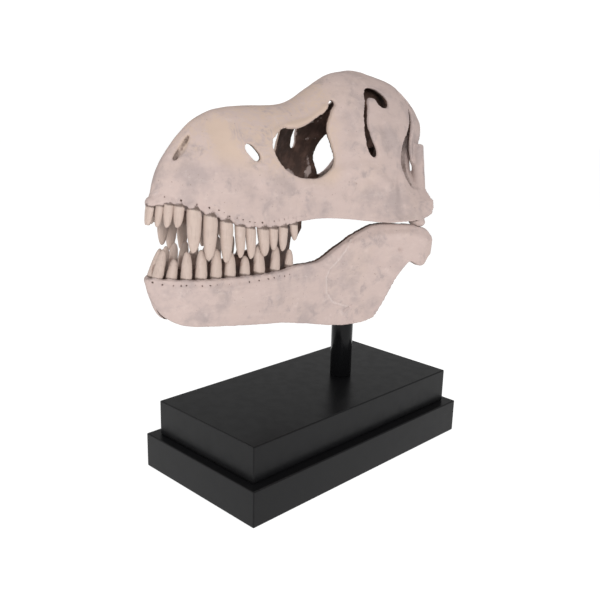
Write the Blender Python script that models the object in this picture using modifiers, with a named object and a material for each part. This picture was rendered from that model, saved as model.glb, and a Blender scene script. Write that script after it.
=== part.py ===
"""Display replica of a tyrannosaur skull on a rod over a two-tier base.

World frame: metres, +Z up, origin at the middle of the base's underside. The snout
points along -Y and the skull's left side is +X.

The skull is drawn in a frame of its own, in millimetres: `along` runs forward from a
point above the jaw joint, `side` to the skull's left and `up` to its crown. That frame
is pitched nose-up on the rod by SKULL_PITCH.
"""
import math

import bmesh
import bpy
import numpy as np
from mathutils import Matrix, Vector
from mathutils.bvhtree import BVHTree

MM = 0.001

# ---------------------------------------------------------------- stand, millimetres
UPPER_TIER = (195.0, 400.0, 50.0)
LOWER_TIER = (225.0, 426.0, 50.0)
TIER_BEVEL = 1.5
ROD_DIAMETER = 32.0
ROD_Y = 65.0
# The bracket is a T: a cross bar let into both sides of the jaw and a stem on the rod.
BRACKET_BAR = (172.0, 30.0, 8.0)
BRACKET_BAR_Y = 27.0
BRACKET_STEM = (40.0, 46.0, 8.0)
BRACKET_Z = 248.0
GAP = 0.3

# ---------------------------------------------------------------- skull placement
SKULL_PITCH = math.radians(12.0)
SKULL_PIVOT = (0.0, 100.0, 352.0)

# ---------------------------------------------------------------- cranium, millimetres
# A station is a line down the side of the skull, from the crown to the lower edge:
# crown (along, up), edge (along, up) and the half widths at LEVELS of the way down.
LEVELS = (0.0, 0.06, 0.22, 0.48, 0.76, 0.9, 1.0)
CRANIUM_STATIONS = (
    ((376, -34), (375, -38), (0, 1, 2, 2, 2, 2, 2)),
    ((373, -10), (371, -36), (0, 3, 6, 8, 9, 9, 9)),
    ((368, 13), (363, -32), (0, 5, 10, 15, 17, 18, 18)),
    ((354, 40), (347, -32), (0, 7, 15, 24, 28, 29, 29)),
    ((330, 69), (324, -36), (0, 10, 22, 33, 38, 39, 39)),
    ((296, 88), (298, -41), (0, 14, 29, 41, 46, 46, 46)),
    ((261, 98), (262, -45), (0, 16, 32, 45, 50, 50, 50)),
    ((218, 107), (222, -41), (0, 17, 34, 48, 53, 54, 54)),
    ((184, 119), (188, -30), (0, 18, 35, 49, 56, 59, 60)),
    ((150, 145), (153, -21), (0, 19, 38, 53, 62, 67, 70)),
    ((110, 172), (117, -17), (0, 25, 49, 70, 80, 82, 83)),
    ((64, 184), (83, -15), (0, 28, 55, 79, 88, 93, 98)),
    ((16, 183), (48, -9), (0, 31, 58, 79, 94, 105, 116)),
    ((-26, 172), (25, -2), (0, 29, 54, 68, 93, 116, 126)),
    ((-50, 160), (5, 8), (0, 25, 49, 62, 95, 124, 128)),
)
WALL = 5.5

# ---------------------------------------------------------------- lower jaw, millimetres
# A station runs from the jaw's upper line to its lower one, with the half widths of its
# outer face at JAW_LEVELS and the thickness of its wall.
JAW_LEVELS = (0.0, 0.5, 1.0)
JAW_STATIONS = (
    ((366, -124), (363, -131), (1, 2, 1)),
    ((361, -123), (351, -150), (9, 9, 5)),
    ((348, -121), (334, -168), (20, 20, 10)),
    ((322, -118), (312, -175), (34, 34, 24)),
    ((290, -113), (280, -172), (42, 44, 36)),
    ((250, -106), (246, -169), (49, 51, 43)),
    ((205, -97), (205, -165), (54, 57, 49)),
    ((174, -86), (166, -162), (58, 60, 55)),
    ((146, -79), (125, -162), (63, 67, 62)),
    ((120, -57), (95, -161), (71, 77, 72)),
    ((96, -34), (69, -156), (81, 89, 82)),
    ((74, -19), (48, -144), (88, 98, 93)),
    ((57, -14), (41, -116), (97, 107, 102)),
    ((42, -12), (34, -83), (107, 115, 111)),
    ((26, -10), (23, -60), (116, 124, 121)),
    ((11, -12), (7, -64), (124, 130, 127)),
    ((-3, -22), (-5, -46), (128, 131, 130)),
)

JAW_WALL = (13.0, 15.0, 9.0)
JAW_REAR_WALL = 10.0
JAW_TAPER_FROM = 8

# Openings through the side of the skull, as smooth closed outlines of (along, up).
ANTORBITAL = ((237, 57), (226, 37), (206, 26), (180, 24), (156, 32), (143, 50), (146, 70),
              (151, 91), (143, 113), (138, 131), (153, 117), (170, 100), (192, 86), (220, 79))
MAXILLARY = ((279, 48), (272, 51), (263, 46), (256, 37), (261, 33), (271, 37))
ORBIT = ((86, 156), (96, 134), (103, 111), (104, 90), (101, 76), (94, 68), (87, 69), (86, 76),
         (93, 88), (97, 100), (99, 112), (92, 132), (86, 144), (77, 146), (71, 139),
         (60, 137), (51, 141), (49, 150), (57, 157), (71, 160))
TEMPORAL = ((-4, 148), (8, 126), (30, 98), (39, 78), (38, 64), (25, 49), (10, 38), (-6, 49),
            (-10, 65), (-3, 79), (2, 99), (-2, 118), (-5, 134))
# Back of the skull as half an outline (side, up), leaning back like the skull's rear edge.
OCCIPUT = ((0, 156), (20, 152), (34, 140), (43, 126), (50, 108), (55, 90), (66, 68), (84, 48),
           (107, 28), (113, 12), (103, 4), (86, 16), (63, 38), (46, 56), (35, 70), (26, 80),
           (18, 75), (0, 72))
OCCIPUT_DEPTH = 12
OCCIPUT_FOOT = 18
OCCIPUT_LEAN = math.radians(20.0)
# The nostril is a long shallow hollow: points along it (side, along, up) and radii.
NOSTRIL = (((10.5, 360, 16), (13, 353, 32), (9.5, 343, 49)), (3, 5, 3))
# Knob of each jaw joint, its centre and half sizes, and the room its socket gives it.
JOINT = ((113, 18, -5), (13, 9, 7.5))
SOCKET_ROOM = 1.2
# Openings in the roof behind the eyes: centre (side, along) and half sizes.
ROOF_OPENING = ((31, -8), (12, 21))

# Teeth: place along the jaw, its fore-and-aft width, length, and how far its tip leans
# forward.
UPPER_TEETH = ((376, 9, 23, -2), (371, 10, 25, -2), (364, 12, 27, -4), (354, 13, 25, -4),
               (337, 18, 52, -11), (317, 17, 53, -9), (296, 18, 49, -12), (276, 14, 39, -11),
               (260, 13, 38, -11), (242, 16, 34, -14), (226, 12, 28, -9), (211, 12, 31, -8),
               (197, 10, 21, -9))
LOWER_TEETH = ((359, 14, 35, -4), (345, 14, 24, -2), (328, 15, 33, 3), (309, 17, 35, 4),
               (290, 15, 35, 3), (271, 17, 31, 3), (250, 16, 24, 2), (228, 17, 34, 6),
               (205, 15, 32, 2), (184, 13, 22, 1))
# How far a tooth stands in from the jaw's outer face, and how far its tip leans out.
UPPER_SET = (4.0, 1.5)
LOWER_SET = (7.5, -4.0)
TOOTH_ROOT = 6.0
TOOTH_FLATNESS = 0.75
TOOTH_RINGS = (0.0, 0.4, 0.75, 0.93, 1.0)
TOOTH_SIDES = 6

VOXEL = 2.3
SKULL_TRIANGLES = 4900
JAW_TRIANGLES = 2500


def curve_through(knots):
    """Smooth function through (x, y) knots that never overshoots between them."""
    x, y = (np.array(column, dtype=float) for column in zip(*sorted(knots)))
    step = np.diff(x)
    slope = np.diff(y) / step
    tangent = np.zeros(len(x))
    tangent[0], tangent[-1] = slope[0], slope[-1]
    for i in range(1, len(x) - 1):
        if slope[i - 1] * slope[i] > 0:
            tangent[i] = 2 * slope[i - 1] * slope[i] / (slope[i - 1] + slope[i])

    def value(at):
        at = np.clip(at, x[0], x[-1])
        i = np.clip(np.searchsorted(x, at, side="right") - 1, 0, len(x) - 2)
        t = (at - x[i]) / step[i]
        return (y[i] * (1 + 2 * t) * (1 - t) ** 2 + tangent[i] * step[i] * t * (1 - t) ** 2
                + y[i + 1] * t * t * (3 - 2 * t) + tangent[i + 1] * step[i] * t * t * (t - 1))
    return value


class Skin:
    """Side of a form as smooth functions of station number and level."""

    def __init__(self, stations, levels):
        number = range(len(stations))
        self.last = len(stations) - 1
        self.crown = [curve_through([(i, stations[i][0][k]) for i in number]) for k in (0, 1)]
        self.edge = [curve_through([(i, stations[i][1][k]) for i in number]) for k in (0, 1)]
        self.widths = [curve_through([(i, stations[i][2][j]) for i in number])
                       for j in range(len(levels))]
        self.levels = levels

    def point(self, station, level):
        """(side, along, up) of the outer face at a station and a level down it."""
        across = curve_through([(self.levels[j] ** 0.5, w(station))
                                for j, w in enumerate(self.widths)])
        along, up = (float(c(station) + (e(station) - c(station)) * level)
                     for c, e in zip(self.crown, self.edge))
        return float(across(min(level, 1.0) ** 0.5)), along, up


def skull_point(side, along, up):
    """Point of the skull's own frame in metres, snout along -Y."""
    return Vector((side, -along, up)) * MM


# ---------------------------------------------------------------- mesh helpers
def new_object(name, mesh):
    obj = bpy.data.objects.new(name, mesh)
    bpy.context.scene.collection.objects.link(obj)
    return obj


def baked(obj):
    """Give an object the mesh that its modifiers make, and drop the modifiers."""
    graph = bpy.context.evaluated_depsgraph_get()
    mesh = bpy.data.meshes.new_from_object(obj.evaluated_get(graph))
    if obj.type == "MESH":
        obj.modifiers.clear()
        obj.data = mesh
        return obj
    solid = new_object(obj.name + "_solid", mesh)
    solid.matrix_world = obj.matrix_world
    bpy.data.objects.remove(obj)
    return solid


def weld(obj):
    """Merge doubled points, turn the faces outward and set the placement in the mesh."""
    obj.data.transform(obj.matrix_world)
    obj.matrix_world = Matrix.Identity(4)
    body = bmesh.new()
    body.from_mesh(obj.data)
    bmesh.ops.remove_doubles(body, verts=body.verts, dist=1e-5)
    bmesh.ops.recalc_face_normals(body, faces=body.faces)
    body.to_mesh(obj.data)
    body.free()
    return obj


def loft(name, rings):
    """Closed solid through rings of equally many points, with flat ends."""
    body = bmesh.new()
    loops = [[body.verts.new(point) for point in ring] for ring in rings]
    for one, two in zip(loops, loops[1:]):
        for i in range(len(one)):
            body.faces.new((one[i - 1], one[i], two[i], two[i - 1]))
    body.faces.new(loops[0])
    body.faces.new(loops[-1][::-1])
    mesh = bpy.data.meshes.new(name)
    body.to_mesh(mesh)
    body.free()
    return weld(new_object(name, mesh))


def plate(name, outline, depth, axis="SIDE"):
    """Flat solid with a smooth closed outline, centred on the plane it is drawn in.

    With axis SIDE the outline is (along, up), with ALONG (side, up), with UP
    (side, along).
    """
    curve = bpy.data.curves.new(name, "CURVE")
    curve.dimensions = "2D"
    curve.fill_mode = "BOTH"
    curve.extrude = depth * MM / 2
    curve.resolution_u = 3
    spline = curve.splines.new("BEZIER")
    spline.bezier_points.add(len(outline) - 1)
    for point, (u, v) in zip(spline.bezier_points, outline):
        point.co = (u * MM, v * MM, 0)
        point.handle_left_type = point.handle_right_type = "AUTO"
    spline.use_cyclic_u = True
    obj = new_object(name, curve)
    columns = {"SIDE": ((0, -1, 0), (0, 0, 1), (1, 0, 0)),
               "ALONG": ((1, 0, 0), (0, 0, 1), (0, 1, 0)),
               "UP": ((1, 0, 0), (0, -1, 0), (0, 0, 1))}[axis]
    obj.matrix_world = Matrix(columns).transposed().to_4x4()
    return obj


def strut(name, points, radii):
    """Round bar through (side, along, up) points, with a radius at each."""
    curve = bpy.data.curves.new(name, "CURVE")
    curve.dimensions = "3D"
    curve.bevel_depth = MM
    curve.bevel_resolution = 2
    curve.use_fill_caps = True
    curve.resolution_u = 4
    spline = curve.splines.new("BEZIER")
    spline.bezier_points.add(len(points) - 1)
    for knot, point, radius in zip(spline.bezier_points, points, radii):
        knot.co = skull_point(*point)
        knot.radius = radius
        knot.handle_left_type = knot.handle_right_type = "AUTO"
    return weld(baked(new_object(name, curve)))


def ball(name, centre, half_sizes):
    """Ellipsoid about a (side, along, up) centre."""
    bpy.ops.mesh.primitive_uv_sphere_add(segments=20, ring_count=12, radius=1)
    obj = bpy.context.object
    obj.name = name
    side, along, up = half_sizes
    obj.matrix_world = (Matrix.Translation(skull_point(*centre))
                        @ Matrix.Diagonal((side * MM, along * MM, up * MM, 1)))
    return weld(obj)


def block(name, low, high):
    """Box between two (side, along, up) corners."""
    bpy.ops.mesh.primitive_cube_add(size=1)
    obj = bpy.context.object
    obj.name = name
    one, two = skull_point(*low), skull_point(*high)
    size = [abs(b - a) for a, b in zip(one, two)]
    obj.matrix_world = Matrix.Translation((one + two) / 2) @ Matrix.Diagonal((*size, 1))
    return weld(obj)


def combine(obj, other, operation):
    """Join, cut or trim an object by another, which is used up."""
    modifier = obj.modifiers.new(operation.title(), "BOOLEAN")
    modifier.operation = operation
    modifier.object = other
    modifier.solver = "EXACT"
    other.hide_render = True
    other.display_type = "WIRE"
    baked(obj)
    bpy.data.objects.remove(other)
    return obj


def heap(name, objects):
    """All the objects' meshes in one object, still overlapping."""
    body = bmesh.new()
    for obj in objects:
        body.from_mesh(obj.data)
    mesh = bpy.data.meshes.new(name)
    body.to_mesh(mesh)
    body.free()
    for obj in objects:
        bpy.data.objects.remove(obj)
    return new_object(name, mesh)


def sound(obj):
    """Whether a mesh is closed and cuts through itself nowhere."""
    body = bmesh.new()
    body.from_mesh(obj.data)
    bmesh.ops.triangulate(body, faces=body.faces)
    body.faces.ensure_lookup_table()
    good = (all(corner.is_manifold for corner in body.verts)
            and all(len(edge.link_faces) == 2 for edge in body.edges))
    if good:
        corners = [{corner.index for corner in face.verts} for face in body.faces]
        tree = BVHTree.FromBMesh(body, epsilon=0.0)
        good = all(corners[i] & corners[j] for i, j in tree.overlap(tree) if i < j)
    body.free()
    return good


def fuse(obj, voxel, rounds, triangles):
    """Melt overlapping forms into one skin, round its edges and thin its faces.

    Thinning can fold narrow gaps into each other, so the melt is tried on slightly
    coarser grids until the thinned skin is sound.
    """
    loose = obj.data
    for trial in range(12):
        obj.data = loose.copy()
        melt = obj.modifiers.new("Melt", "REMESH")
        melt.mode = "VOXEL"
        melt.voxel_size = (voxel + 0.02 * trial) * MM
        soften = obj.modifiers.new("Soften", "SMOOTH")
        soften.factor = 0.5
        soften.iterations = rounds
        baked(obj)
        faces = sum(len(face.vertices) - 2 for face in obj.data.polygons)
        thin = obj.modifiers.new("Thin", "DECIMATE")
        thin.ratio = triangles / faces
        if sound(baked(obj)):
            return obj
    raise RuntimeError(obj.name + " has faces that touch")


# ---------------------------------------------------------------- cranium
def cranium_shell(skin):
    """The outer form, flat between its lower edges."""
    rings = []
    count = 3 * skin.last
    levels = [(j / 14) ** 1.7 for j in range(15)]
    for i in range(count + 1):
        left = [skin.point(i * skin.last / count, level) for level in levels]
        right = [(-side, along, up) for side, along, up in left[1:]]
        rings.append([skull_point(*p) for p in right[::-1] + left])
    return loft("cranium", rings)


def skull_cavity(skin):
    """Hollow of the skull: closed ahead of the side windows, open below behind them."""
    rings = []
    levels = [j / 9 for j in range(10)]
    first, last = 5.2, skin.last
    floor = curve_through([(298, -4), (262, -14), (200, -13), (176, -12), (160, -60), (-80, -60)])
    for i in range(25):
        station = first + (last - first) * i / 24
        side = []
        depth = 1.0
        for level in levels:
            across, along, up = skin.point(station, 0.5 * WALL / 100 + level * depth)
            low = float(floor(along))
            inner = max(across - WALL, 0.0)
            side.append((inner, along, max(up - WALL * (1 - level), low)))
        across, along, up = side[-1]
        side.append((across, along, min(up, float(floor(along)))))
        crown = (0.0, side[0][1], side[0][2] + 0.5)
        right = [(-s, a, u) for s, a, u in side]
        rings.append([skull_point(*p) for p in right[::-1] + [crown] + side])
    tail = [point + Vector((0, 60 * MM, 0)) for point in rings[-1]]
    return loft("cavity", rings + [tail])


def mouth_roof(skin):
    """Vault between the upper tooth rows."""
    rings = []
    for i in range(17):
        station = 2.2 + (9.6 - 2.2) * i / 16
        across, along, up = skin.point(station, 1.0)
        half = max(across - 13, 2)
        rise = min(16, half * 0.7)
        side = [(half * 0.35, along, up + rise), (half * 0.75, along, up + rise * 0.75),
                (half, along, up + rise * 0.2), (half, along, up - 30)]
        right = [(-s, a, u) for s, a, u in side]
        rings.append([skull_point(*p) for p in right[::-1] + side])
    return loft("mouth_roof", rings)


def cranium_solid(skin):
    """The whole upper skull without its teeth."""
    shell = cranium_shell(skin)
    combine(shell, skull_cavity(skin), "DIFFERENCE")
    combine(shell, mouth_roof(skin), "DIFFERENCE")
    for name, outline in (("antorbital", ANTORBITAL), ("maxillary", MAXILLARY),
                          ("orbit", ORBIT), ("temporal", TEMPORAL)):
        combine(shell, weld(baked(plate(name, outline, 300))), "DIFFERENCE")
    for hand in (1, -1):
        (side, along, up), (half_side, half_along) = (*ROOF_OPENING[0], 175), ROOF_OPENING[1]
        combine(shell, ball("roof_opening", (hand * side, along, up),
                            (half_side, half_along, 60)), "DIFFERENCE")
        points, radii = NOSTRIL
        hollow = strut("nostril", [(hand * side, *rest) for side, *rest in points], radii)
        combine(shell, hollow, "DIFFERENCE")
    return shell


def joint_ball(hand, margin=0.0):
    """Knob of the skull's side of the jaw joint."""
    side, along, up = JOINT[0]
    return ball("joint", (hand * side, along, up), [half + margin for half in JOINT[1]])


def skull_inside():
    """Braincase, back of the skull, jaw joints and palate struts."""
    forms = [
        ball("braincase", (0, 28, 128), (25, 46, 44)),
        ball("condyle", (0, -22, 80), (9, 10, 9)),
    ]
    outline = list(OCCIPUT) + [(-side, up) for side, up in OCCIPUT[-2:0:-1]]
    back = weld(baked(plate("occiput", outline, OCCIPUT_DEPTH, "ALONG")))
    back.data.transform(Matrix.Translation(skull_point(0, OCCIPUT_FOOT, 0))
                        @ Matrix.Rotation(-OCCIPUT_LEAN, 4, "X"))
    forms.append(back)
    for hand in (1, -1):
        forms.append(strut("quadrate", ((hand * 62, -20, 100), (hand * 83, -10, 50),
                                        (hand * 107, 11, 8), (hand * 112, 17, -1)),
                           (9, 9, 10, 8)))
        forms.append(joint_ball(hand))
        forms.append(strut("pterygoid", ((hand * 11, -12, 84), (hand * 15, 36, 34),
                                         (hand * 24, 100, -1), (hand * 34, 178, -18)),
                           (8, 6, 5.5, 7)))
    return forms


# ---------------------------------------------------------------- teeth
def tooth(name, root, out, tip, width, length_ahead):
    """Curved cone: root and tip are (side, along, up), out the way its flat side faces."""
    rings = []
    root, tip = Vector(root), Vector(tip)
    axis = (tip - root).normalized()
    out = Vector(out)
    out = (out - axis * out.dot(axis)).normalized()
    fore = axis.cross(out)
    for t in TOOTH_RINGS:
        size = width / 2 * (1 - 0.3 * t) * (1 - t ** 5) ** 0.5 + 0.06 * width * t
        centre = root.lerp(tip, t) + fore * length_ahead * 4 * t * (1 - t)
        ring = []
        for k in range(TOOTH_SIDES):
            angle = math.tau * k / TOOTH_SIDES
            point = (centre + fore * math.cos(angle) * size
                     + out * math.sin(angle) * size * TOOTH_FLATNESS)
            ring.append(skull_point(*point))
        rings.append(ring)
    return loft(name, rings)


def place_on(skin, along, level):
    """Station of a skin whose point at a level lies at a distance along the skull."""
    low, high = 0.0, float(skin.last)
    for _ in range(40):
        middle = (low + high) / 2
        if skin.point(middle, level)[1] > along:
            low = middle
        else:
            high = middle
    return low


def tooth_row(skin, level, teeth, setting, hand, down):
    """One side's teeth, standing in the jaw's edge."""
    row = []
    for along, width, length, lean in teeth:
        station = place_on(skin, along, level)
        side, at, up = skin.point(station, level)
        ahead = skin.point(max(station - 0.2, 0), level)
        behind = skin.point(min(station + 0.2, skin.last), level)
        run = Vector((ahead[0] - behind[0], ahead[1] - behind[1], 0)).normalized()
        out = Vector((run.y, -run.x, 0))
        if out.x < 0:
            out = -out
        foot = Vector((side, at, up)) - out * min(setting[0], max(side - 0.4 * width, 0))
        root = foot + Vector((0, 0, TOOTH_ROOT * down))
        tip = foot + out * setting[1] + Vector((0, lean, -length * down))
        mirror = Matrix.Diagonal((hand, 1, 1)).to_3x3()
        row.append(tooth("tooth", mirror @ root, mirror @ out, mirror @ tip, width, 0.0))
    return row


# ---------------------------------------------------------------- lower jaw
def ramus(skin, hand):
    """One side of the lower jaw."""
    rings = []
    count = 3 * skin.last
    levels = (0.0, 0.1, 0.3, 0.5, 0.75, 0.92, 1.0)
    wall = curve_through(list(zip((0.0, 0.5, 1.0), JAW_WALL)))
    for i in range(count + 1):
        station = i * skin.last / count
        outer = [skin.point(station, level) for level in levels]
        thin = max(0.0, (station - JAW_TAPER_FROM) / (skin.last - JAW_TAPER_FROM))
        inner = []
        for level, (side, along, up) in zip(levels, outer):
            thickness = float(wall(level)) * (1 - thin) + JAW_REAR_WALL * thin
            inner.append((max(side - thickness, -0.5 if side > 1 else side - 2), along, up))
        ring = outer + inner[::-1]
        rings.append([skull_point(hand * side, along, up) for side, along, up in ring])
    return loft("ramus", rings)


# ---------------------------------------------------------------- named pieces
def trimmed(name, whole, low, high):
    """The stretch of a form inside a box, as a piece of its own."""
    piece = new_object(name, whole.data.copy())
    return combine(piece, block("trim", low, high), "INTERSECT")


def build_skull():
    skin = Skin(CRANIUM_STATIONS, LEVELS)
    teeth = [t for hand in (1, -1) for t in tooth_row(skin, 1.0, UPPER_TEETH, UPPER_SET, hand, 1)]
    whole = heap("skull", [cranium_solid(skin)] + skull_inside() + teeth)
    fuse(whole, VOXEL, 2, SKULL_TRIANGLES)
    far = 400
    g = GAP / 2
    pieces = [
        trimmed("skull_snout", whole, (-far, 205 + g, -far), (far, far, far)),
        trimmed("skull_brow", whole, (-far, 43 + g, 60 + g), (far, 205 - g, far)),
        trimmed("skull_braincase", whole, (-far, -far, 60 + g), (far, 43 - g, far)),
        trimmed("skull_cheek_left", whole, (g, -far, -far), (far, 205 - g, 60 - g)),
        trimmed("skull_cheek_right", whole, (-far, -far, -far), (-g, 205 - g, 60 - g)),
    ]
    bpy.data.objects.remove(whole)
    return pieces


def build_jaw():
    skin = Skin(JAW_STATIONS, JAW_LEVELS)
    teeth = [t for hand in (1, -1) for t in tooth_row(skin, 0.0, LOWER_TEETH, LOWER_SET, hand, -1)]
    whole = heap("jaw", [ramus(skin, 1), ramus(skin, -1)] + teeth)
    fuse(whole, VOXEL, 2, JAW_TRIANGLES)
    far = 400
    g = GAP / 2
    seam = 118
    pieces = []
    for hand, word in ((1, "left"), (-1, "right")):
        near, out = (g, far) if hand > 0 else (-far, -g)
        pieces.append(trimmed("jaw_front_" + word, whole, (near, seam + g, -far), (out, far, far)))
        pieces.append(trimmed("jaw_rear_" + word, whole, (near, -far, -far), (out, seam - g, far)))
    bpy.data.objects.remove(whole)
    return pieces


# ---------------------------------------------------------------- stand
def tier(name, size, bottom):
    bpy.ops.mesh.primitive_cube_add(size=1, location=(0, 0, (bottom + size[2] / 2) * MM))
    obj = bpy.context.object
    obj.name = name
    obj.data.transform(Matrix.Diagonal((*[s * MM for s in size], 1)))
    bevel = obj.modifiers.new("Edge", "BEVEL")
    bevel.width = TIER_BEVEL * MM
    bevel.segments = 2
    return obj


def build_stand():
    lower = tier("stand_lower_tier", LOWER_TIER, 0)
    upper = tier("stand_upper_tier", UPPER_TIER, LOWER_TIER[2] + GAP)
    floor = LOWER_TIER[2] + GAP + UPPER_TIER[2] + GAP
    top = BRACKET_Z - BRACKET_BAR[2] / 2 - GAP
    bpy.ops.mesh.primitive_cylinder_add(vertices=32, radius=ROD_DIAMETER / 2 * MM,
                                        depth=(top - floor) * MM,
                                        location=(0, ROD_Y * MM, (top + floor) / 2 * MM))
    rod = bpy.context.object
    rod.name = "stand_rod"
    return [lower, upper, rod, bracket_plate()]


def level_box(name, size, middle_y, margin=0.0):
    """Level box at the bracket's height, with a margin all round."""
    bpy.ops.mesh.primitive_cube_add(size=1)
    obj = bpy.context.object
    obj.name = name
    obj.matrix_world = (Matrix.Translation((0, middle_y * MM, BRACKET_Z * MM))
                        @ Matrix.Diagonal((*[(s + 2 * margin) * MM for s in size], 1)))
    return weld(obj)


def bracket_plate():
    """T plate that carries the jaw on the rod."""
    bar = level_box("stand_bracket", BRACKET_BAR, BRACKET_BAR_Y)
    stem_y = BRACKET_BAR_Y + (BRACKET_BAR[1] + BRACKET_STEM[1]) / 2 - 5
    return combine(bar, level_box("stem", BRACKET_STEM, stem_y), "UNION")


def bracket_pocket():
    """Room in the jaw's inner faces for the ends of the bracket, in the skull's frame."""
    obj = level_box("pocket", BRACKET_BAR, BRACKET_BAR_Y, GAP)
    obj.data.transform(skull_placement().inverted())
    return obj


def skull_placement():
    return (Matrix.Translation(Vector(SKULL_PIVOT) * MM)
            @ Matrix.Rotation(-SKULL_PITCH, 4, "X"))


# ---------------------------------------------------------------- materials
def material(name, colour, roughness):
    made = bpy.data.materials.new(name)
    made.use_nodes = True
    shader = made.node_tree.nodes["Principled BSDF"]
    shader.inputs["Base Color"].default_value = (*colour, 1)
    shader.inputs["Roughness"].default_value = roughness
    shader.inputs["Metallic"].default_value = 0.0
    return made


def main():
    for obj in list(bpy.data.objects):
        bpy.data.objects.remove(obj)
    bone = material("cast_bone", (0.62, 0.53, 0.46), 0.75)
    black = material("black_lacquer", (0.01, 0.01, 0.01), 0.35)
    pieces = build_skull()
    jaw = build_jaw()
    for piece in jaw:
        if "rear" in piece.name:
            combine(piece, bracket_pocket(), "DIFFERENCE")
            hand = 1 if "left" in piece.name else -1
            combine(piece, joint_ball(hand, SOCKET_ROOM), "DIFFERENCE")
    pieces += jaw
    placement = bpy.data.objects.new("skull_placement", None)
    bpy.context.scene.collection.objects.link(placement)
    placement.matrix_world = skull_placement()
    bpy.context.view_layer.update()
    for piece in pieces:
        piece.parent = placement
    group = bpy.data.collections.new("tyrannosaur_skull_replica")
    bpy.context.scene.collection.children.link(group)
    for piece, finish in [(p, bone) for p in pieces] + [(s, black) for s in build_stand()]:
        piece.data.materials.clear()
        piece.data.materials.append(finish)
        for holder in list(piece.users_collection):
            holder.objects.unlink(piece)
        group.objects.link(piece)
    bpy.context.view_layer.update()


main()
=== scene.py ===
"""Display replica of a tyrannosaur skull: its surfaces, finishes, light and camera."""
import math

import bmesh
import bpy
import numpy as np
from bpy.props import (FloatProperty, FloatVectorProperty, IntProperty, PointerProperty)
from mathutils import Matrix, Vector
from mathutils.bvhtree import BVHTree
from mathutils.kdtree import KDTree


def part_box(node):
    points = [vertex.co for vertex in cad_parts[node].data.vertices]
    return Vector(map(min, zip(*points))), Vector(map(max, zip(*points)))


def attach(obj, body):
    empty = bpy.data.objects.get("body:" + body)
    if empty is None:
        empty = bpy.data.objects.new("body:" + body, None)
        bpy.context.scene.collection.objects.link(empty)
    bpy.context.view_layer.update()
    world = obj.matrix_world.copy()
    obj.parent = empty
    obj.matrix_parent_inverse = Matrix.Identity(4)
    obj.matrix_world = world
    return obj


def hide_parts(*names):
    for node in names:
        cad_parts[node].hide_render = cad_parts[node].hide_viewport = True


bl_info = {
    "name": "Tyrannosaur Skull Replica",
    "version": (1, 0, 0),
    "blender": (4, 5, 0),
    "location": "View3D > Sidebar > Skull",
    "description": "Builds a cast tyrannosaur skull on its two-tier base",
    "category": "Object",
}

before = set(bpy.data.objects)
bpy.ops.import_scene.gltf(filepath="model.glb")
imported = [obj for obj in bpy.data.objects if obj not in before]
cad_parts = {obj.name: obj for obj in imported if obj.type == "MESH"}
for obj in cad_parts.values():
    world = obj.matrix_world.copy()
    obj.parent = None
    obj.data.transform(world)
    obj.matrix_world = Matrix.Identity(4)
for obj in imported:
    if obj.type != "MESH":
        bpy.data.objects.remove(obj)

MM = 0.001
SKULL_NODES = ("skull_snout", "skull_brow", "skull_braincase", "skull_cheek_left",
               "skull_cheek_right")
JAW_NODES = ("jaw_front_left", "jaw_front_right", "jaw_rear_left", "jaw_rear_right")
BOARDS = ("stand_lower_tier", "stand_upper_tier")

# The skull is drawn in millimetres in its own frame: `along` runs forward, `side` to its
# left and `up` to its crown. The frame is pitched nose-up and set on the rod.
SKULL_PITCH = math.radians(12.0)
SKULL_PIVOT = (0.0, 100.0, 352.0)

# ---------------------------------------------------------------- cranium, millimetres
# A station is a line down the side: crown (along, up), edge (along, up) and the half
# widths at LEVELS of the way down.
LEVELS = (0.0, 0.06, 0.22, 0.48, 0.76, 0.9, 1.0)
CRANIUM_STATIONS = (
    ((376, -34), (375, -38), (0, 1, 2, 2, 2, 2, 2)),
    ((373, -10), (371, -36), (0, 3, 6, 8, 9, 9, 9)),
    ((368, 13), (363, -32), (0, 5, 10, 15, 17, 18, 18)),
    ((354, 40), (347, -32), (0, 7, 15, 24, 28, 29, 29)),
    ((330, 69), (324, -36), (0, 10, 22, 33, 38, 39, 39)),
    ((296, 88), (298, -41), (0, 14, 29, 41, 46, 46, 46)),
    ((261, 98), (262, -45), (0, 16, 32, 45, 50, 50, 50)),
    ((218, 107), (222, -41), (0, 17, 34, 48, 53, 54, 54)),
    ((184, 119), (188, -30), (0, 18, 35, 49, 56, 59, 60)),
    ((150, 145), (153, -21), (0, 19, 38, 53, 62, 67, 70)),
    ((110, 172), (117, -17), (0, 25, 49, 70, 80, 82, 83)),
    ((64, 184), (83, -15), (0, 28, 55, 79, 88, 93, 98)),
    ((16, 183), (48, -9), (0, 31, 58, 79, 94, 105, 116)),
    ((-26, 172), (25, -2), (0, 29, 54, 68, 93, 116, 126)),
    ((-50, 160), (5, 8), (0, 25, 49, 62, 95, 124, 128)),
)
WALL = 5.5

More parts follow.
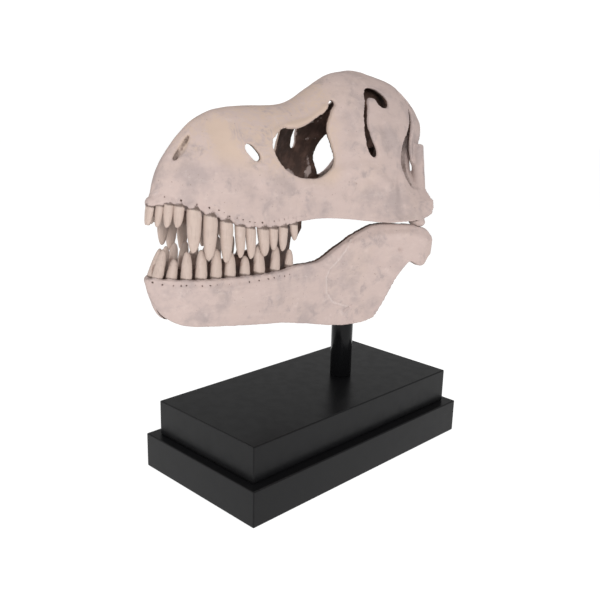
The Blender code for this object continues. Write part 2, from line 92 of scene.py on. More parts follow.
# ---------------------------------------------------------------- lower jaw, millimetres
JAW_LEVELS = (0.0, 0.5, 1.0)
JAW_STATIONS = (
    ((366, -124), (363, -131), (1, 2, 1)),
    ((361, -123), (351, -150), (9, 9, 5)),
    ((348, -121), (334, -168), (20, 20, 10)),
    ((322, -118), (312, -175), (34, 34, 24)),
    ((290, -113), (280, -172), (42, 44, 36)),
    ((250, -106), (246, -169), (49, 51, 43)),
    ((205, -97), (205, -165), (54, 57, 49)),
    ((174, -86), (166, -162), (58, 60, 55)),
    ((146, -79), (125, -162), (63, 67, 62)),
    ((120, -57), (95, -161), (71, 77, 72)),
    ((96, -34), (69, -156), (81, 89, 82)),
    ((74, -19), (48, -144), (88, 98, 93)),
    ((57, -14), (41, -116), (97, 107, 102)),
    ((42, -12), (34, -83), (107, 115, 111)),
    ((26, -10), (23, -60), (116, 124, 121)),
    ((11, -12), (7, -64), (124, 130, 127)),
    ((-3, -22), (-5, -46), (128, 131, 130)),
)
JAW_WALL = (13.0, 15.0, 9.0)
JAW_REAR_WALL = 10.0
JAW_TAPER_FROM = 8

# Openings through the side of the skull, as smooth closed outlines of (along, up).
ANTORBITAL = ((237, 57), (226, 37), (206, 26), (180, 24), (156, 32), (143, 50), (146, 70),
              (151, 91), (142, 115), (137, 130), (147, 119), (170, 100), (192, 86), (220, 79))
MAXILLARY = ((279, 48), (272, 51), (263, 46), (256, 37), (261, 33), (271, 37))
ORBIT = ((86, 156), (96, 134), (103, 111), (104, 90), (101, 76), (94, 68), (87, 69), (86, 76),
         (92, 88), (96, 100), (97, 112), (91, 131), (86, 144), (77, 146), (71, 139),
         (60, 137), (51, 141), (49, 150), (57, 157), (71, 160))
TEMPORAL = ((-4, 148), (8, 126), (30, 98), (39, 78), (38, 64), (25, 49), (10, 38), (-6, 49),
            (-10, 65), (-3, 79), (2, 99), (-2, 118), (-5, 134))
# Back of the skull as half an outline (side, up), leaning back like the skull's rear edge.
OCCIPUT = ((0, 156), (20, 152), (34, 140), (43, 126), (50, 108), (55, 90), (66, 68), (84, 48),
           (107, 28), (113, 12), (103, 4), (86, 16), (63, 38), (46, 56), (35, 70), (26, 80),
           (18, 75), (0, 72))
OCCIPUT_DEPTH = 12
OCCIPUT_FOOT = 18
OCCIPUT_LEAN = math.radians(20.0)
NOSTRIL = (((10.5, 360, 16), (13, 353, 32), (9.5, 343, 49)), (3, 6, 3))
JOINT = ((113, 18, -5), (13, 9, 7.5))
SOCKET_ROOM = 1.2
ROOF_OPENING = ((31, -8), (12, 21))
BRACKET_BAR = (172.0, 30.0, 8.0)
BRACKET_BAR_Y = 27.0
BRACKET_Z = 248.0
GAP = 0.3

# ---------------------------------------------------------------- teeth, millimetres
# Place along the jaw, fore-and-aft width, length, and how far the tip leans forward.
UPPER_TEETH = ((376, 9, 23, -2), (370, 10, 26, -2), (363, 12, 28, -4), (353, 13, 26, -4),
               (337, 18, 51, -11), (317, 18, 53, -10), (296, 17, 49, -12), (276, 14, 39, -11),
               (260, 14, 38, -11), (242, 16, 34, -14), (226, 13, 28, -9), (211, 13, 31, -8),
               (197, 11, 21, -9))
LOWER_TEETH = ((359, 13, 35, -4), (345, 13, 24, -2), (328, 14, 33, 3), (309, 15, 35, 4),
               (290, 15, 35, 3), (271, 15, 31, 3), (250, 14, 24, 2), (228, 16, 34, 6),
               (205, 14, 32, 2), (184, 12, 22, 1))
UPPER_SET = (4.0, 1.5)
LOWER_SET = (7.5, -4.0)
TOOTH_ROOT = 6.0
TOOTH_FLATNESS = 0.78

# Small pits along the tooth lines and one larger slit, as (along, up) on the side.
UPPER_PITS = ((371, -24), (367, -26), (360, -27), (352, -27), (347, -29), (335, -28), (327, -29),
              (321, -30), (314, -31), (309, -31), (302, -33), (294, -36), (283, -37), (274, -38),
              (264, -39), (256, -39), (245, -38), (234, -35), (227, -34), (219, -32), (212, -30),
              (205, -27), (199, -26), (194, -25), (187, -23), (181, -21))
LOWER_PITS = ((361, -126), (352, -127), (342, -126), (334, -125), (329, -124), (319, -122),
              (311, -122), (301, -121), (292, -119), (276, -117), (262, -114), (249, -112),
              (235, -109), (221, -106), (212, -104), (204, -101), (196, -101), (188, -98))
# Raised line where two bones of the lower jaw meet.
JAW_SUTURE = ((105, -40), (112, -59), (119, -72), (129, -85), (132, -97), (127, -117),
              (114, -129), (96, -132), (86, -134))
JAW_SLIT = ((92, -140), (86, -132))
JAW_HOLLOW = (42, -46)
# Gentle ridges (+) and hollows (-) of the bone: (along, up) knots, half width and height.
SKULL_RELIEF = (
    (((186, 14), (156, 19), (136, 42), (104, 52), (64, 37)), 13, 2.7),
    (((232, 70), (205, 84), (172, 98), (150, 118)), 9, 2.2),
    (((122, 18), (118, 30)), 17, -3.2),
    (((260, 0), (300, 30), (310, 62)), 26, -2.2),
    (((128, 120), (120, 96)), 11, -1.9),
    (((72, 110), (62, 84)), 15, -2.4),
    (((43, 44), (44, 20), (50, -2)), 10, -2.0),
    (((250, 8), (215, 6), (180, 2)), 12, 1.8),
)
JAW_RELIEF = (
    (((345, -147), (300, -151), (240, -146), (180, -141)), 12, -1.8),
    (((118, -96), (98, -104)), 17, -2.0),
    (((104, -50), (70, -32), (36, -24), (12, -26)), 9, 2.4),
    (((62, -66), (40, -64)), 12, -2.2),
    (((340, -129), (280, -122), (210, -108)), 5, 1.6),
)



def curve_through(knots):
    """Smooth function through (x, y) knots that never overshoots between them."""
    x, y = (np.array(column, dtype=float) for column in zip(*sorted(knots)))
    step = np.diff(x)
    slope = np.diff(y) / step
    tangent = np.zeros(len(x))
    tangent[0], tangent[-1] = slope[0], slope[-1]
    for i in range(1, len(x) - 1):
        if slope[i - 1] * slope[i] > 0:
            tangent[i] = 2 * slope[i - 1] * slope[i] / (slope[i - 1] + slope[i])

    def value(at):
        at = np.clip(at, x[0], x[-1])
        i = np.clip(np.searchsorted(x, at, side="right") - 1, 0, len(x) - 2)
        t = (at - x[i]) / step[i]
        return (y[i] * (1 + 2 * t) * (1 - t) ** 2 + tangent[i] * step[i] * t * (1 - t) ** 2
                + y[i + 1] * t * t * (3 - 2 * t) + tangent[i + 1] * step[i] * t * t * (t - 1))
    return value


class Skin:
    """Side of a form as smooth functions of station number and level."""

    def __init__(self, stations, levels):
        number = range(len(stations))
        self.last = len(stations) - 1
        self.crown = [curve_through([(i, stations[i][0][k]) for i in number]) for k in (0, 1)]
        self.edge = [curve_through([(i, stations[i][1][k]) for i in number]) for k in (0, 1)]
        self.widths = [curve_through([(i, stations[i][2][j]) for i in number])
                       for j in range(len(levels))]
        self.levels = levels

    def point(self, station, level):
        """(side, along, up) of the outer face at a station and a level down it."""
        across = curve_through([(self.levels[j] ** 0.5, w(station))
                                for j, w in enumerate(self.widths)])
        along, up = (float(c(station) + (e(station) - c(station)) * level)
                     for c, e in zip(self.crown, self.edge))
        return float(across(min(level, 1.0) ** 0.5)), along, up

    def spread(self, rows, columns):
        """Points all over the left outer face, as an array of (side, along, up)."""
        return np.array([self.point(s, l) for s in np.linspace(0, self.last, rows)
                         for l in np.linspace(0, 1, columns) ** 1.6])


def skull_point(side, along, up):
    """Point of the skull's own frame in metres, snout along -Y."""
    return Vector((side, -along, up)) * MM


def skull_placement():
    return (Matrix.Translation(Vector(SKULL_PIVOT) * MM)
            @ Matrix.Rotation(-SKULL_PITCH, 4, "X"))


# ---------------------------------------------------------------- mesh helpers
def new_object(name, mesh):
    obj = bpy.data.objects.new(name, mesh)
    bpy.context.scene.collection.objects.link(obj)
    return obj


def baked(obj):
    """Give an object the mesh that its modifiers make, and drop the modifiers."""
    bpy.context.view_layer.update()
    graph = bpy.context.evaluated_depsgraph_get()
    mesh = bpy.data.meshes.new_from_object(obj.evaluated_get(graph))
    if obj.type == "MESH":
        obj.modifiers.clear()
        obj.data = mesh
        return obj
    solid = new_object(obj.name + "_solid", mesh)
    solid.matrix_world = obj.matrix_world
    bpy.data.objects.remove(obj)
    return solid


def weld(obj):
    """Merge doubled points, turn the faces outward and set the placement in the mesh."""
    bpy.context.view_layer.update()
    obj.data.transform(obj.matrix_world)
    obj.matrix_world = Matrix.Identity(4)
    body = bmesh.new()
    body.from_mesh(obj.data)
    bmesh.ops.remove_doubles(body, verts=body.verts, dist=1e-5)
    bmesh.ops.recalc_face_normals(body, faces=body.faces)
    body.to_mesh(obj.data)
    body.free()
    return obj


def loft(name, rings):
    """Closed solid through rings of equally many points, with flat ends."""
    body = bmesh.new()
    loops = [[body.verts.new(point) for point in ring] for ring in rings]
    for one, two in zip(loops, loops[1:]):
        for i in range(len(one)):
            body.faces.new((one[i - 1], one[i], two[i], two[i - 1]))
    body.faces.new(loops[0])
    body.faces.new(loops[-1][::-1])
    mesh = bpy.data.meshes.new(name)
    body.to_mesh(mesh)
    body.free()
    return weld(new_object(name, mesh))


def plate(name, outline, depth, axis="SIDE"):
    """Flat solid with a smooth closed outline, centred on the plane it is drawn in."""
    curve = bpy.data.curves.new(name, "CURVE")
    curve.dimensions = "2D"
    curve.fill_mode = "BOTH"
    curve.extrude = depth * MM / 2
    curve.resolution_u = 6
    spline = curve.splines.new("BEZIER")
    spline.bezier_points.add(len(outline) - 1)
    for point, (u, v) in zip(spline.bezier_points, outline):
        point.co = (u * MM, v * MM, 0)
        point.handle_left_type = point.handle_right_type = "AUTO"
    spline.use_cyclic_u = True
    obj = new_object(name, curve)
    columns = {"SIDE": ((0, -1, 0), (0, 0, 1), (1, 0, 0)),
               "ALONG": ((1, 0, 0), (0, 0, 1), (0, 1, 0))}[axis]
    obj.matrix_world = Matrix(columns).transposed().to_4x4()
    return obj


def strut(name, points, radii):
    """Round bar through (side, along, up) points, with a radius at each."""
    curve = bpy.data.curves.new(name, "CURVE")
    curve.dimensions = "3D"
    curve.bevel_depth = MM
    curve.bevel_resolution = 5
    curve.use_fill_caps = True
    curve.resolution_u = 8
    spline = curve.splines.new("BEZIER")
    spline.bezier_points.add(len(points) - 1)
    for knot, point, radius in zip(spline.bezier_points, points, radii):
        knot.co = skull_point(*point)
        knot.radius = radius
        knot.handle_left_type = knot.handle_right_type = "AUTO"
    return weld(baked(new_object(name, curve)))


def ball(name, centre, half_sizes):
    """Ellipsoid about a (side, along, up) centre."""
    mesh = bpy.data.meshes.new(name)
    body = bmesh.new()
    bmesh.ops.create_uvsphere(body, u_segments=28, v_segments=16, radius=1)
    body.to_mesh(mesh)
    body.free()
    obj = new_object(name, mesh)
    side, along, up = half_sizes
    obj.matrix_world = (Matrix.Translation(skull_point(*centre))
                        @ Matrix.Diagonal((side * MM, along * MM, up * MM, 1)))
    return weld(obj)


def combine(obj, other, operation):
    """Join or cut an object by another, which is used up."""
    modifier = obj.modifiers.new(operation.title(), "BOOLEAN")
    modifier.operation = operation
    modifier.object = other
    modifier.solver = "EXACT"
    baked(obj)
    bpy.data.objects.remove(other)
    return obj


def heap(name, objects):
    """All the objects' meshes in one object, still overlapping."""
    body = bmesh.new()
    for obj in objects:
        body.from_mesh(obj.data)
    mesh = bpy.data.meshes.new(name)
    body.to_mesh(mesh)
    body.free()
    for obj in objects:
        bpy.data.objects.remove(obj)
    return new_object(name, mesh)


def corners(mesh):
    """A mesh's points and normals as arrays."""
    count = len(mesh.vertices)
    places, normals = np.empty(count * 3), np.empty(count * 3)
    mesh.vertices.foreach_get("co", places)
    mesh.vertices.foreach_get("normal", normals)
    return places.reshape(-1, 3), normals.reshape(-1, 3)


def to_skull(places):
    """(side, along, up) in millimetres of points in the skull's own frame."""
    return places * np.array((1, -1, 1)) / MM


def smooth_step(low, high, value):
    t = np.clip((value - low) / (high - low), 0, 1)
    return t * t * (3 - 2 * t)


def waves(points, size, seed):
    """Smooth made-up unevenness from -1 to 1 with lumps of about the given size."""
    random = np.random.default_rng(seed)
    total = np.zeros(len(points))
    for _ in range(14):
        direction = random.normal(size=3)
        direction /= np.linalg.norm(direction)
        pace = math.tau / (size * random.uniform(1.3, 3.0))
        total += np.sin(points @ direction * pace + random.uniform(0, math.tau))
    return total / 6.0


def nearest(points, targets):
    """Distance from each point to its nearest target."""
    tree = KDTree(len(targets))
    for i, target in enumerate(targets):
        tree.insert(target, i)
    tree.balance()
    return np.array([tree.find(point)[2] for point in points])


def line_points(knots, gap=1.0):
    """Points along a chain of knots, no further apart than the gap."""
    made = []
    for one, two in zip(knots, knots[1:]):
        one, two = np.array(one, dtype=float), np.array(two, dtype=float)
        count = max(1, int(np.linalg.norm(two - one) / gap))
        made += [one + (two - one) * i / count for i in range(count)]
    made.append(np.array(knots[-1], dtype=float))
    return np.array(made)


def on_side(skin, knots):
    """Points (side, along, up) on the left outer face over (along, up) knots."""
    cloud = skin.spread(130, 70)
    made = []
    for along, up in knots:
        apart = (cloud[:, 1] - along) ** 2 + (cloud[:, 2] - up) ** 2
        made.append((float(cloud[int(apart.argmin())][0]), along, up))
    return made


def both_sides(points):
    points = np.array(points, dtype=float)
    return np.vstack([points, points * np.array((-1, 1, 1))])


def relief(points, skin, table):
    """Height in millimetres that the ridges and hollows of a table give to each point."""
    height = np.zeros(len(points))
    for knots, half_width, amount in table:
        course = both_sides(on_side(skin, [tuple(p) for p in line_points(knots, 3.0)]))
        height += amount * smooth_step(half_width, 0.0, nearest(points, course))
    return height


def openness(obj, rays=26):
    """Share of the directions in front of each point that leave the form unhindered."""
    proxy = new_object("proxy", obj.data.copy())
    thinned(proxy, 24000)
    tree = BVHTree.FromPolygons([v.co for v in proxy.data.vertices],
                                [f.vertices[:] for f in proxy.data.polygons])
    random = np.random.default_rng(5)
    ways = random.normal(size=(rays, 3))
    ways = [Vector(way / np.linalg.norm(way)) for way in ways]
    found = []
    for point in proxy.data.vertices:
        start = point.co + point.normal * 0.0008
        free = weight = 0.0
        for way in ways:
            facing = way.dot(point.normal)
            if facing > 0.1:
                weight += facing
                if tree.ray_cast(start, way, 0.16)[0] is None:
                    free += facing
        found.append(free / max(weight, 1e-6))
    near = KDTree(len(proxy.data.vertices))
    for i, point in enumerate(proxy.data.vertices):
        near.insert(point.co, i)
    near.balance()
    values = np.array([sum(found[i] / (d + 1e-5) for _, i, d in hits)
                       / sum(1 / (d + 1e-5) for _, i, d in hits)
                       for hits in (near.find_n(point.co, 4) for point in obj.data.vertices)])
    bpy.data.objects.remove(proxy)
    return values


def tooth_crevice(obj, jaw):
    """How near each point of the bone lies to a tooth of that jaw, from 0 to 1: where the painted
    shade in the crevices round the teeth goes.
    """
    teeth = bpy.data.objects[jaw + "_teeth"]
    back = skull_placement().inverted()
    tips = to_skull(np.array([back @ point.co for point in teeth.data.vertices]))
    return 0.6 * smooth_step(1.5, 0.7, nearest(to_skull(corners(obj.data)[0]), tips))


def melted(obj, voxel, rounds):
    """Melt overlapping forms into one skin and round its edges."""
    melt = obj.modifiers.new("Melt", "REMESH")
    melt.mode = "VOXEL"
    melt.voxel_size = voxel
    soften = obj.modifiers.new("Soften", "SMOOTH")
    soften.factor = 0.5
    soften.iterations = rounds
    return baked(obj)


def thinned(obj, triangles):
    faces = sum(len(face.vertices) - 2 for face in obj.data.polygons)
    if faces > triangles:
        thin = obj.modifiers.new("Thin", "DECIMATE")
        thin.ratio = triangles / faces
        baked(obj)
    return obj


def moved_along_normals(obj, heights):
    """Push every point out by its height in millimetres."""
    places, normals = corners(obj.data)
    places += normals * heights[:, None] * MM
    obj.data.vertices.foreach_set("co", places.ravel())
    obj.data.update()


def keep_mask(mesh, name, values):
    """Store one number from 0 to 1 at every point, for the paint to read."""
    layer = mesh.attributes.new(name, "FLOAT", "POINT")
    layer.data.foreach_set("value", np.clip(values, 0, 1).astype(np.float32))


def placed(obj):
    """Set a piece made in the skull's own frame into the world, smooth shaded."""
    obj.data.transform(skull_placement())
    for face in obj.data.polygons:
        face.use_smooth = True
    return obj


# ---------------------------------------------------------------- cranium
def cranium_shell(skin):
    """The outer form, flat between its lower edges."""
    rings = []
    count = 5 * skin.last
    levels = [(j / 24) ** 1.6 for j in range(25)]
    for i in range(count + 1):
        left = [skin.point(i * skin.last / count, level) for level in levels]
        right = [(-side, along, up) for side, along, up in left[1:]]
        rings.append([skull_point(*p) for p in right[::-1] + left])
    return loft("cranium", rings)


def skull_cavity(skin):
    """Hollow of the skull: closed ahead of the side windows, open below behind them."""
    rings = []
    levels = [j / 14 for j in range(15)]
    first, last = 5.2, skin.last
    floor = curve_through([(298, -4), (262, -14), (200, -13), (176, -12), (160, -60), (-80, -60)])
    for i in range(41):
        station = first + (last - first) * i / 40
        side = []
        for level in levels:
            across, along, up = skin.point(station, 0.5 * WALL / 100 + level)
            low = float(floor(along))
            side.append((max(across - WALL, 0.0), along, max(up - WALL * (1 - level), low)))
        across, along, up = side[-1]
        side.append((across, along, min(up, float(floor(along)))))
        crown = (0.0, side[0][1], side[0][2] + 0.5)
        right = [(-s, a, u) for s, a, u in side]
        rings.append([skull_point(*p) for p in right[::-1] + [crown] + side])
    tail = [point + Vector((0, 60 * MM, 0)) for point in rings[-1]]
    return loft("cavity", rings + [tail])


def mouth_roof(skin):
    """Vault between the upper tooth rows."""
    rings = []
    for i in range(25):
        station = 2.2 + (9.6 - 2.2) * i / 24
        across, along, up = skin.point(station, 1.0)
        half = max(across - 13, 2)
        rise = min(16, half * 0.7)
        side = [(half * 0.35, along, up + rise), (half * 0.75, along, up + rise * 0.75),
                (half, along, up + rise * 0.2), (half, along, up - 30)]
        right = [(-s, a, u) for s, a, u in side]
        rings.append([skull_point(*p) for p in right[::-1] + side])
    return loft("mouth_roof", rings)


def cranium_solid(skin):
    """The whole upper skull without its teeth."""
    shell = cranium_shell(skin)
    combine(shell, skull_cavity(skin), "DIFFERENCE")
    combine(shell, mouth_roof(skin), "DIFFERENCE")
    for name, outline in (("antorbital", ANTORBITAL), ("maxillary", MAXILLARY),
                          ("orbit", ORBIT), ("temporal", TEMPORAL)):
        combine(shell, weld(baked(plate(name, outline, 300))), "DIFFERENCE")
    for hand in (1, -1):
        (side, along, up), (half_side, half_along) = (*ROOF_OPENING[0], 175), ROOF_OPENING[1]
        combine(shell, ball("roof_opening", (hand * side, along, up),
                            (half_side, half_along, 60)), "DIFFERENCE")
        points, radii = NOSTRIL
        hollow = strut("nostril", [(hand * side, *rest) for side, *rest in points], radii)
        combine(shell, hollow, "DIFFERENCE")
    return shell


def skull_inside():
    """Braincase, back of the skull, jaw joints and palate struts."""
    forms = [
        ball("braincase", (0, 28, 128), (25, 46, 44)),
        ball("condyle", (0, -22, 80), (9, 10, 9)),
    ]
    outline = list(OCCIPUT) + [(-side, up) for side, up in OCCIPUT[-2:0:-1]]
    back = weld(baked(plate("occiput", outline, OCCIPUT_DEPTH, "ALONG")))
    back.data.transform(Matrix.Translation(skull_point(0, OCCIPUT_FOOT, 0))
                        @ Matrix.Rotation(-OCCIPUT_LEAN, 4, "X"))
    forms.append(back)
    for hand in (1, -1):
        forms.append(strut("quadrate", ((hand * 62, -20, 100), (hand * 83, -10, 50),
                                        (hand * 107, 11, 8), (hand * 112, 17, -1)),
                           (9, 9, 10, 8)))
        side, along, up = JOINT[0]
        forms.append(ball("joint", (hand * side, along, up), JOINT[1]))
        forms.append(strut("pterygoid", ((hand * 11, -12, 84), (hand * 15, 36, 34),
                                         (hand * 24, 100, -1), (hand * 34, 178, -18)),
                           (8, 6, 5.5, 7)))
    return forms


# ---------------------------------------------------------------- teeth
def place_on(skin, along, level):
    """Station of a skin whose point at a level lies at a distance along the skull."""
    low, high = 0.0, float(skin.last)
    for _ in range(40):
        middle = (low + high) / 2
        if skin.point(middle, level)[1] > along:
            low = middle
        else:
            high = middle
    return low


def tooth_places(skin, level, teeth, setting, down):
    """For each tooth of the left row: foot, root, tip and outward direction, and width."""
    row = []
    for along, width, length, lean in teeth:
        station = place_on(skin, along, level)
        side, at, up = skin.point(station, level)
        ahead = skin.point(max(station - 0.2, 0), level)
        behind = skin.point(min(station + 0.2, skin.last), level)
        run = Vector((ahead[0] - behind[0], ahead[1] - behind[1], 0)).normalized()
        out = Vector((run.y, -run.x, 0))
        if out.x < 0:
            out = -out
        foot = Vector((side, at, up)) - out * min(setting[0], max(side - 0.4 * width, 0))
        root = foot + Vector((0, 0, TOOTH_ROOT * down))
        tip = foot + out * setting[1] + Vector((0, lean, -length * down))
        row.append((foot, root, tip, out, width))
    return row


def socket_rims(row, down):
    """Swellings of the bone round the tooth roots, on both sides."""
    forms = []
    for foot, root, tip, out, width in row:
        for hand in (1, -1):
            centre = foot + Vector((0, 0, 2.5 * down))
            forms.append(ball("rim", (hand * centre.x, centre.y, centre.z),
                              (5.4, 0.56 * width, 6.5)))
    return forms


def tooth_points(name, row, down):
    """Loose points at the tooth roots that carry each tooth's direction and size."""
    mesh = bpy.data.meshes.new(name)
    found = []
    for foot, root, tip, out, width in row:
        for hand in (1, -1):
            turn = Vector((hand, -1, 1))
            found.append((Vector(root * turn) * MM, Vector((tip - root) * turn) * MM,
                          Vector(out * turn), width * MM, -hand * down))
    mesh.from_pydata([one[0] for one in found], [], [])
    for label, kind, index in (("reach", "FLOAT_VECTOR", 1), ("outward", "FLOAT_VECTOR", 2),
                               ("width", "FLOAT", 3), ("bend", "FLOAT", 4)):
        layer = mesh.attributes.new(label, kind, "POINT")
        for i, one in enumerate(found):
            if kind == "FLOAT":
                layer.data[i].value = one[index]
            else:
                layer.data[i].vector = one[index]
    return new_object(name, mesh)


def link(tree, source, target):
    tree.links.new(source, target)


def tooth_tree(material):
    """Geometry Nodes tree that grows a curved tooth on every point."""
    tree = bpy.data.node_groups.new("Teeth", "GeometryNodeTree")
    face = tree.interface
    face.new_socket("Geometry", in_out="INPUT", socket_type="NodeSocketGeometry")
    for label, kind, default in (("Sides", "NodeSocketInt", 28), ("Rings", "NodeSocketInt", 34),
                                 ("Bow", "NodeSocketFloat", 0.12),
                                 ("Flatness", "NodeSocketFloat", TOOTH_FLATNESS),
                                 ("Unevenness", "NodeSocketFloat", 0.0004),
                                 ("Seed", "NodeSocketInt", 3)):
        socket = face.new_socket(label, in_out="INPUT", socket_type=kind)
        socket.default_value = default
    face.new_socket("Geometry", in_out="OUTPUT", socket_type="NodeSocketGeometry")
    make = tree.nodes.new
    given = make("NodeGroupInput")
    made = make("NodeGroupOutput")

    line = make("GeometryNodeCurveQuadraticBezier")
    line.inputs["Start"].default_value = (0, 0, 0)
    line.inputs["End"].default_value = (0, 0, 1)
    bow = make("ShaderNodeCombineXYZ")
    link(tree, given.outputs["Bow"], bow.inputs["X"])
    bow.inputs["Z"].default_value = 0.55
    link(tree, bow.outputs[0], line.inputs["Middle"])
    link(tree, given.outputs["Rings"], line.inputs["Resolution"])

    place = make("GeometryNodeSplineParameter")
    shape = make("ShaderNodeFloatCurve")
    curve = shape.mapping.curves[0]
    profile = ((0.0, 0.24), (0.1, 0.42), (0.2, 0.5), (0.4, 0.49), (0.62, 0.45), (0.8, 0.375),
               (0.91, 0.285), (0.97, 0.18), (1.0, 0.0))
    curve.points[0].location = profile[0]
    curve.points[-1].location = profile[-1]
    for point in profile[1:-1]:
        curve.points.new(*point)
    shape.mapping.update()
    link(tree, place.outputs["Factor"], shape.inputs["Value"])
    radius = make("GeometryNodeSetCurveRadius")
    link(tree, line.outputs[0], radius.inputs["Curve"])
    link(tree, shape.outputs[0], radius.inputs["Radius"])
    ring = make("GeometryNodeCurvePrimitiveCircle")
    ring.inputs["Radius"].default_value = 1.0
    link(tree, given.outputs["Sides"], ring.inputs["Resolution"])
    tube = make("GeometryNodeCurveToMesh")
    link(tree, radius.outputs[0], tube.inputs["Curve"])
    link(tree, ring.outputs["Curve"], tube.inputs["Profile Curve"])
    tube.inputs["Fill Caps"].default_value = True
    if "Scale" in tube.inputs:
        link(tree, shape.outputs[0], tube.inputs["Scale"])
    merge = make("GeometryNodeMergeByDistance")
    merge.inputs["Distance"].default_value = 0.0005
    link(tree, tube.outputs[0], merge.inputs["Geometry"])

    reach = make("GeometryNodeInputNamedAttribute")
    reach.data_type = "FLOAT_VECTOR"
    reach.inputs["Name"].default_value = "reach"
    outward = make("GeometryNodeInputNamedAttribute")
    outward.data_type = "FLOAT_VECTOR"
    outward.inputs["Name"].default_value = "outward"
    width = make("GeometryNodeInputNamedAttribute")
    width.data_type = "FLOAT"
    width.inputs["Name"].default_value = "width"
    stand = make("FunctionNodeAlignRotationToVector")
    stand.axis = "Z"
    link(tree, reach.outputs["Attribute"], stand.inputs["Vector"])
    turn = make("FunctionNodeAlignRotationToVector")
    turn.axis = "Y"
    turn.pivot_axis = "Z"
    link(tree, stand.outputs[0], turn.inputs["Rotation"])
    link(tree, outward.outputs["Attribute"], turn.inputs["Vector"])
    length = make("ShaderNodeVectorMath")
    length.operation = "LENGTH"
    link(tree, reach.outputs["Attribute"], length.inputs[0])
    flat = make("ShaderNodeMath")
    flat.operation = "MULTIPLY"
    link(tree, width.outputs["Attribute"], flat.inputs[0])
    link(tree, given.outputs["Flatness"], flat.inputs[1])
    bend = make("GeometryNodeInputNamedAttribute")
    bend.data_type = "FLOAT"
    bend.inputs["Name"].default_value = "bend"
    turned = make("ShaderNodeMath")
    turned.operation = "MULTIPLY"
    link(tree, width.outputs["Attribute"], turned.inputs[0])
    link(tree, bend.outputs["Attribute"], turned.inputs[1])
    size = make("ShaderNodeCombineXYZ")
    link(tree, turned.outputs[0], size.inputs["X"])
    link(tree, flat.outputs[0], size.inputs["Y"])
    link(tree, length.outputs["Value"], size.inputs["Z"])
    grow = make("GeometryNodeInstanceOnPoints")
    link(tree, given.outputs["Geometry"], grow.inputs["Points"])
    link(tree, merge.outputs[0], grow.inputs["Instance"])
    link(tree, turn.outputs[0], grow.inputs["Rotation"])
    link(tree, size.outputs[0], grow.inputs["Scale"])
    real = make("GeometryNodeRealizeInstances")
    link(tree, grow.outputs[0], real.inputs[0])

    noise = make("ShaderNodeTexNoise")
    noise.noise_dimensions = "4D"
    noise.inputs["Scale"].default_value = 150.0
    noise.inputs["Detail"].default_value = 1.0
    link(tree, given.outputs["Seed"], noise.inputs["W"])
    even = make("ShaderNodeMath")
    even.operation = "SUBTRACT"
    even.inputs[1].default_value = 0.5
    link(tree, noise.outputs[0], even.inputs[0])
    amount = make("ShaderNodeMath")
    amount.operation = "MULTIPLY"
    link(tree, even.outputs[0], amount.inputs[0])
    link(tree, given.outputs["Unevenness"], amount.inputs[1])
    normal = make("GeometryNodeInputNormal")
    push = make("ShaderNodeVectorMath")
    push.operation = "SCALE"
    link(tree, normal.outputs[0], push.inputs[0])
    link(tree, amount.outputs[0], push.inputs["Scale"])
    rough = make("GeometryNodeSetPosition")
    link(tree, real.outputs[0], rough.inputs["Geometry"])
    link(tree, push.outputs[0], rough.inputs["Offset"])
    smooth = make("GeometryNodeSetShadeSmooth")
    link(tree, rough.outputs[0], smooth.inputs["Geometry"])
    paint = make("GeometryNodeSetMaterial")
    paint.inputs["Material"].default_value = material
    link(tree, smooth.outputs[0], paint.inputs["Geometry"])
    link(tree, paint.outputs[0], made.inputs[0])
    return tree


def grown(obj, tree, values):
    """Run a tree on an object and keep the plain mesh."""
    modifier = obj.modifiers.new("Grow", "NODES")
    modifier.node_group = tree
    for item in tree.interface.items_tree:
        if item.item_type == "SOCKET" and item.in_out == "INPUT" and item.name in values:
            modifier[item.identifier] = values[item.name]
    return baked(obj)


def foot_line(places, roots, down):
    """How near each point lies to the gum line of its tooth, from 0 to 1."""
    ups = np.array([root[2] for root in roots])
    tree = KDTree(len(roots))
    for i, root in enumerate(roots):
        tree.insert(root, i)
    tree.balance()
    near = np.array([tree.find(p)[1] for p in places])
    return (places[:, 2] - ups[near]) * down


# ---------------------------------------------------------------- lower jaw
def ramus(skin, hand):
    """One side of the lower jaw."""
    rings = []
    count = 5 * skin.last
    levels = (0.0, 0.05, 0.15, 0.3, 0.5, 0.7, 0.85, 0.95, 1.0)
    wall = curve_through(list(zip((0.0, 0.5, 1.0), JAW_WALL)))
    for i in range(count + 1):
        station = i * skin.last / count
        outer = [skin.point(station, level) for level in levels]
        thin = max(0.0, (station - JAW_TAPER_FROM) / (skin.last - JAW_TAPER_FROM))
        inner = []
        for level, (side, along, up) in zip(levels, outer):
            thickness = float(wall(level)) * (1 - thin) + JAW_REAR_WALL * thin
            inner.append((max(side - thickness, -0.5 if side > 1 else side - 2), along, up))
        ring = outer + inner[::-1]
        rings.append([skull_point(hand * side, along, up) for side, along, up in ring])
    return loft("ramus", rings)


def bracket_pocket():
    """Room in the jaw's inner faces for the ends of the bracket, in the skull's frame."""
    mesh = bpy.data.meshes.new("pocket")
    body = bmesh.new()
    bmesh.ops.create_cube(body, size=1)
    body.to_mesh(mesh)
    body.free()
    obj = new_object("pocket", mesh)
    obj.matrix_world = (skull_placement().inverted()
                        @ Matrix.Translation((0, BRACKET_BAR_Y * MM, BRACKET_Z * MM))
                        @ Matrix.Diagonal((*[(s + 2 * GAP) * MM for s in BRACKET_BAR], 1)))
    return weld(obj)


# ---------------------------------------------------------------- paint
def node(tree, kind, **values):
    made = tree.nodes.new(kind)
    for name, value in values.items():
        setattr(made, name, value)
    return made


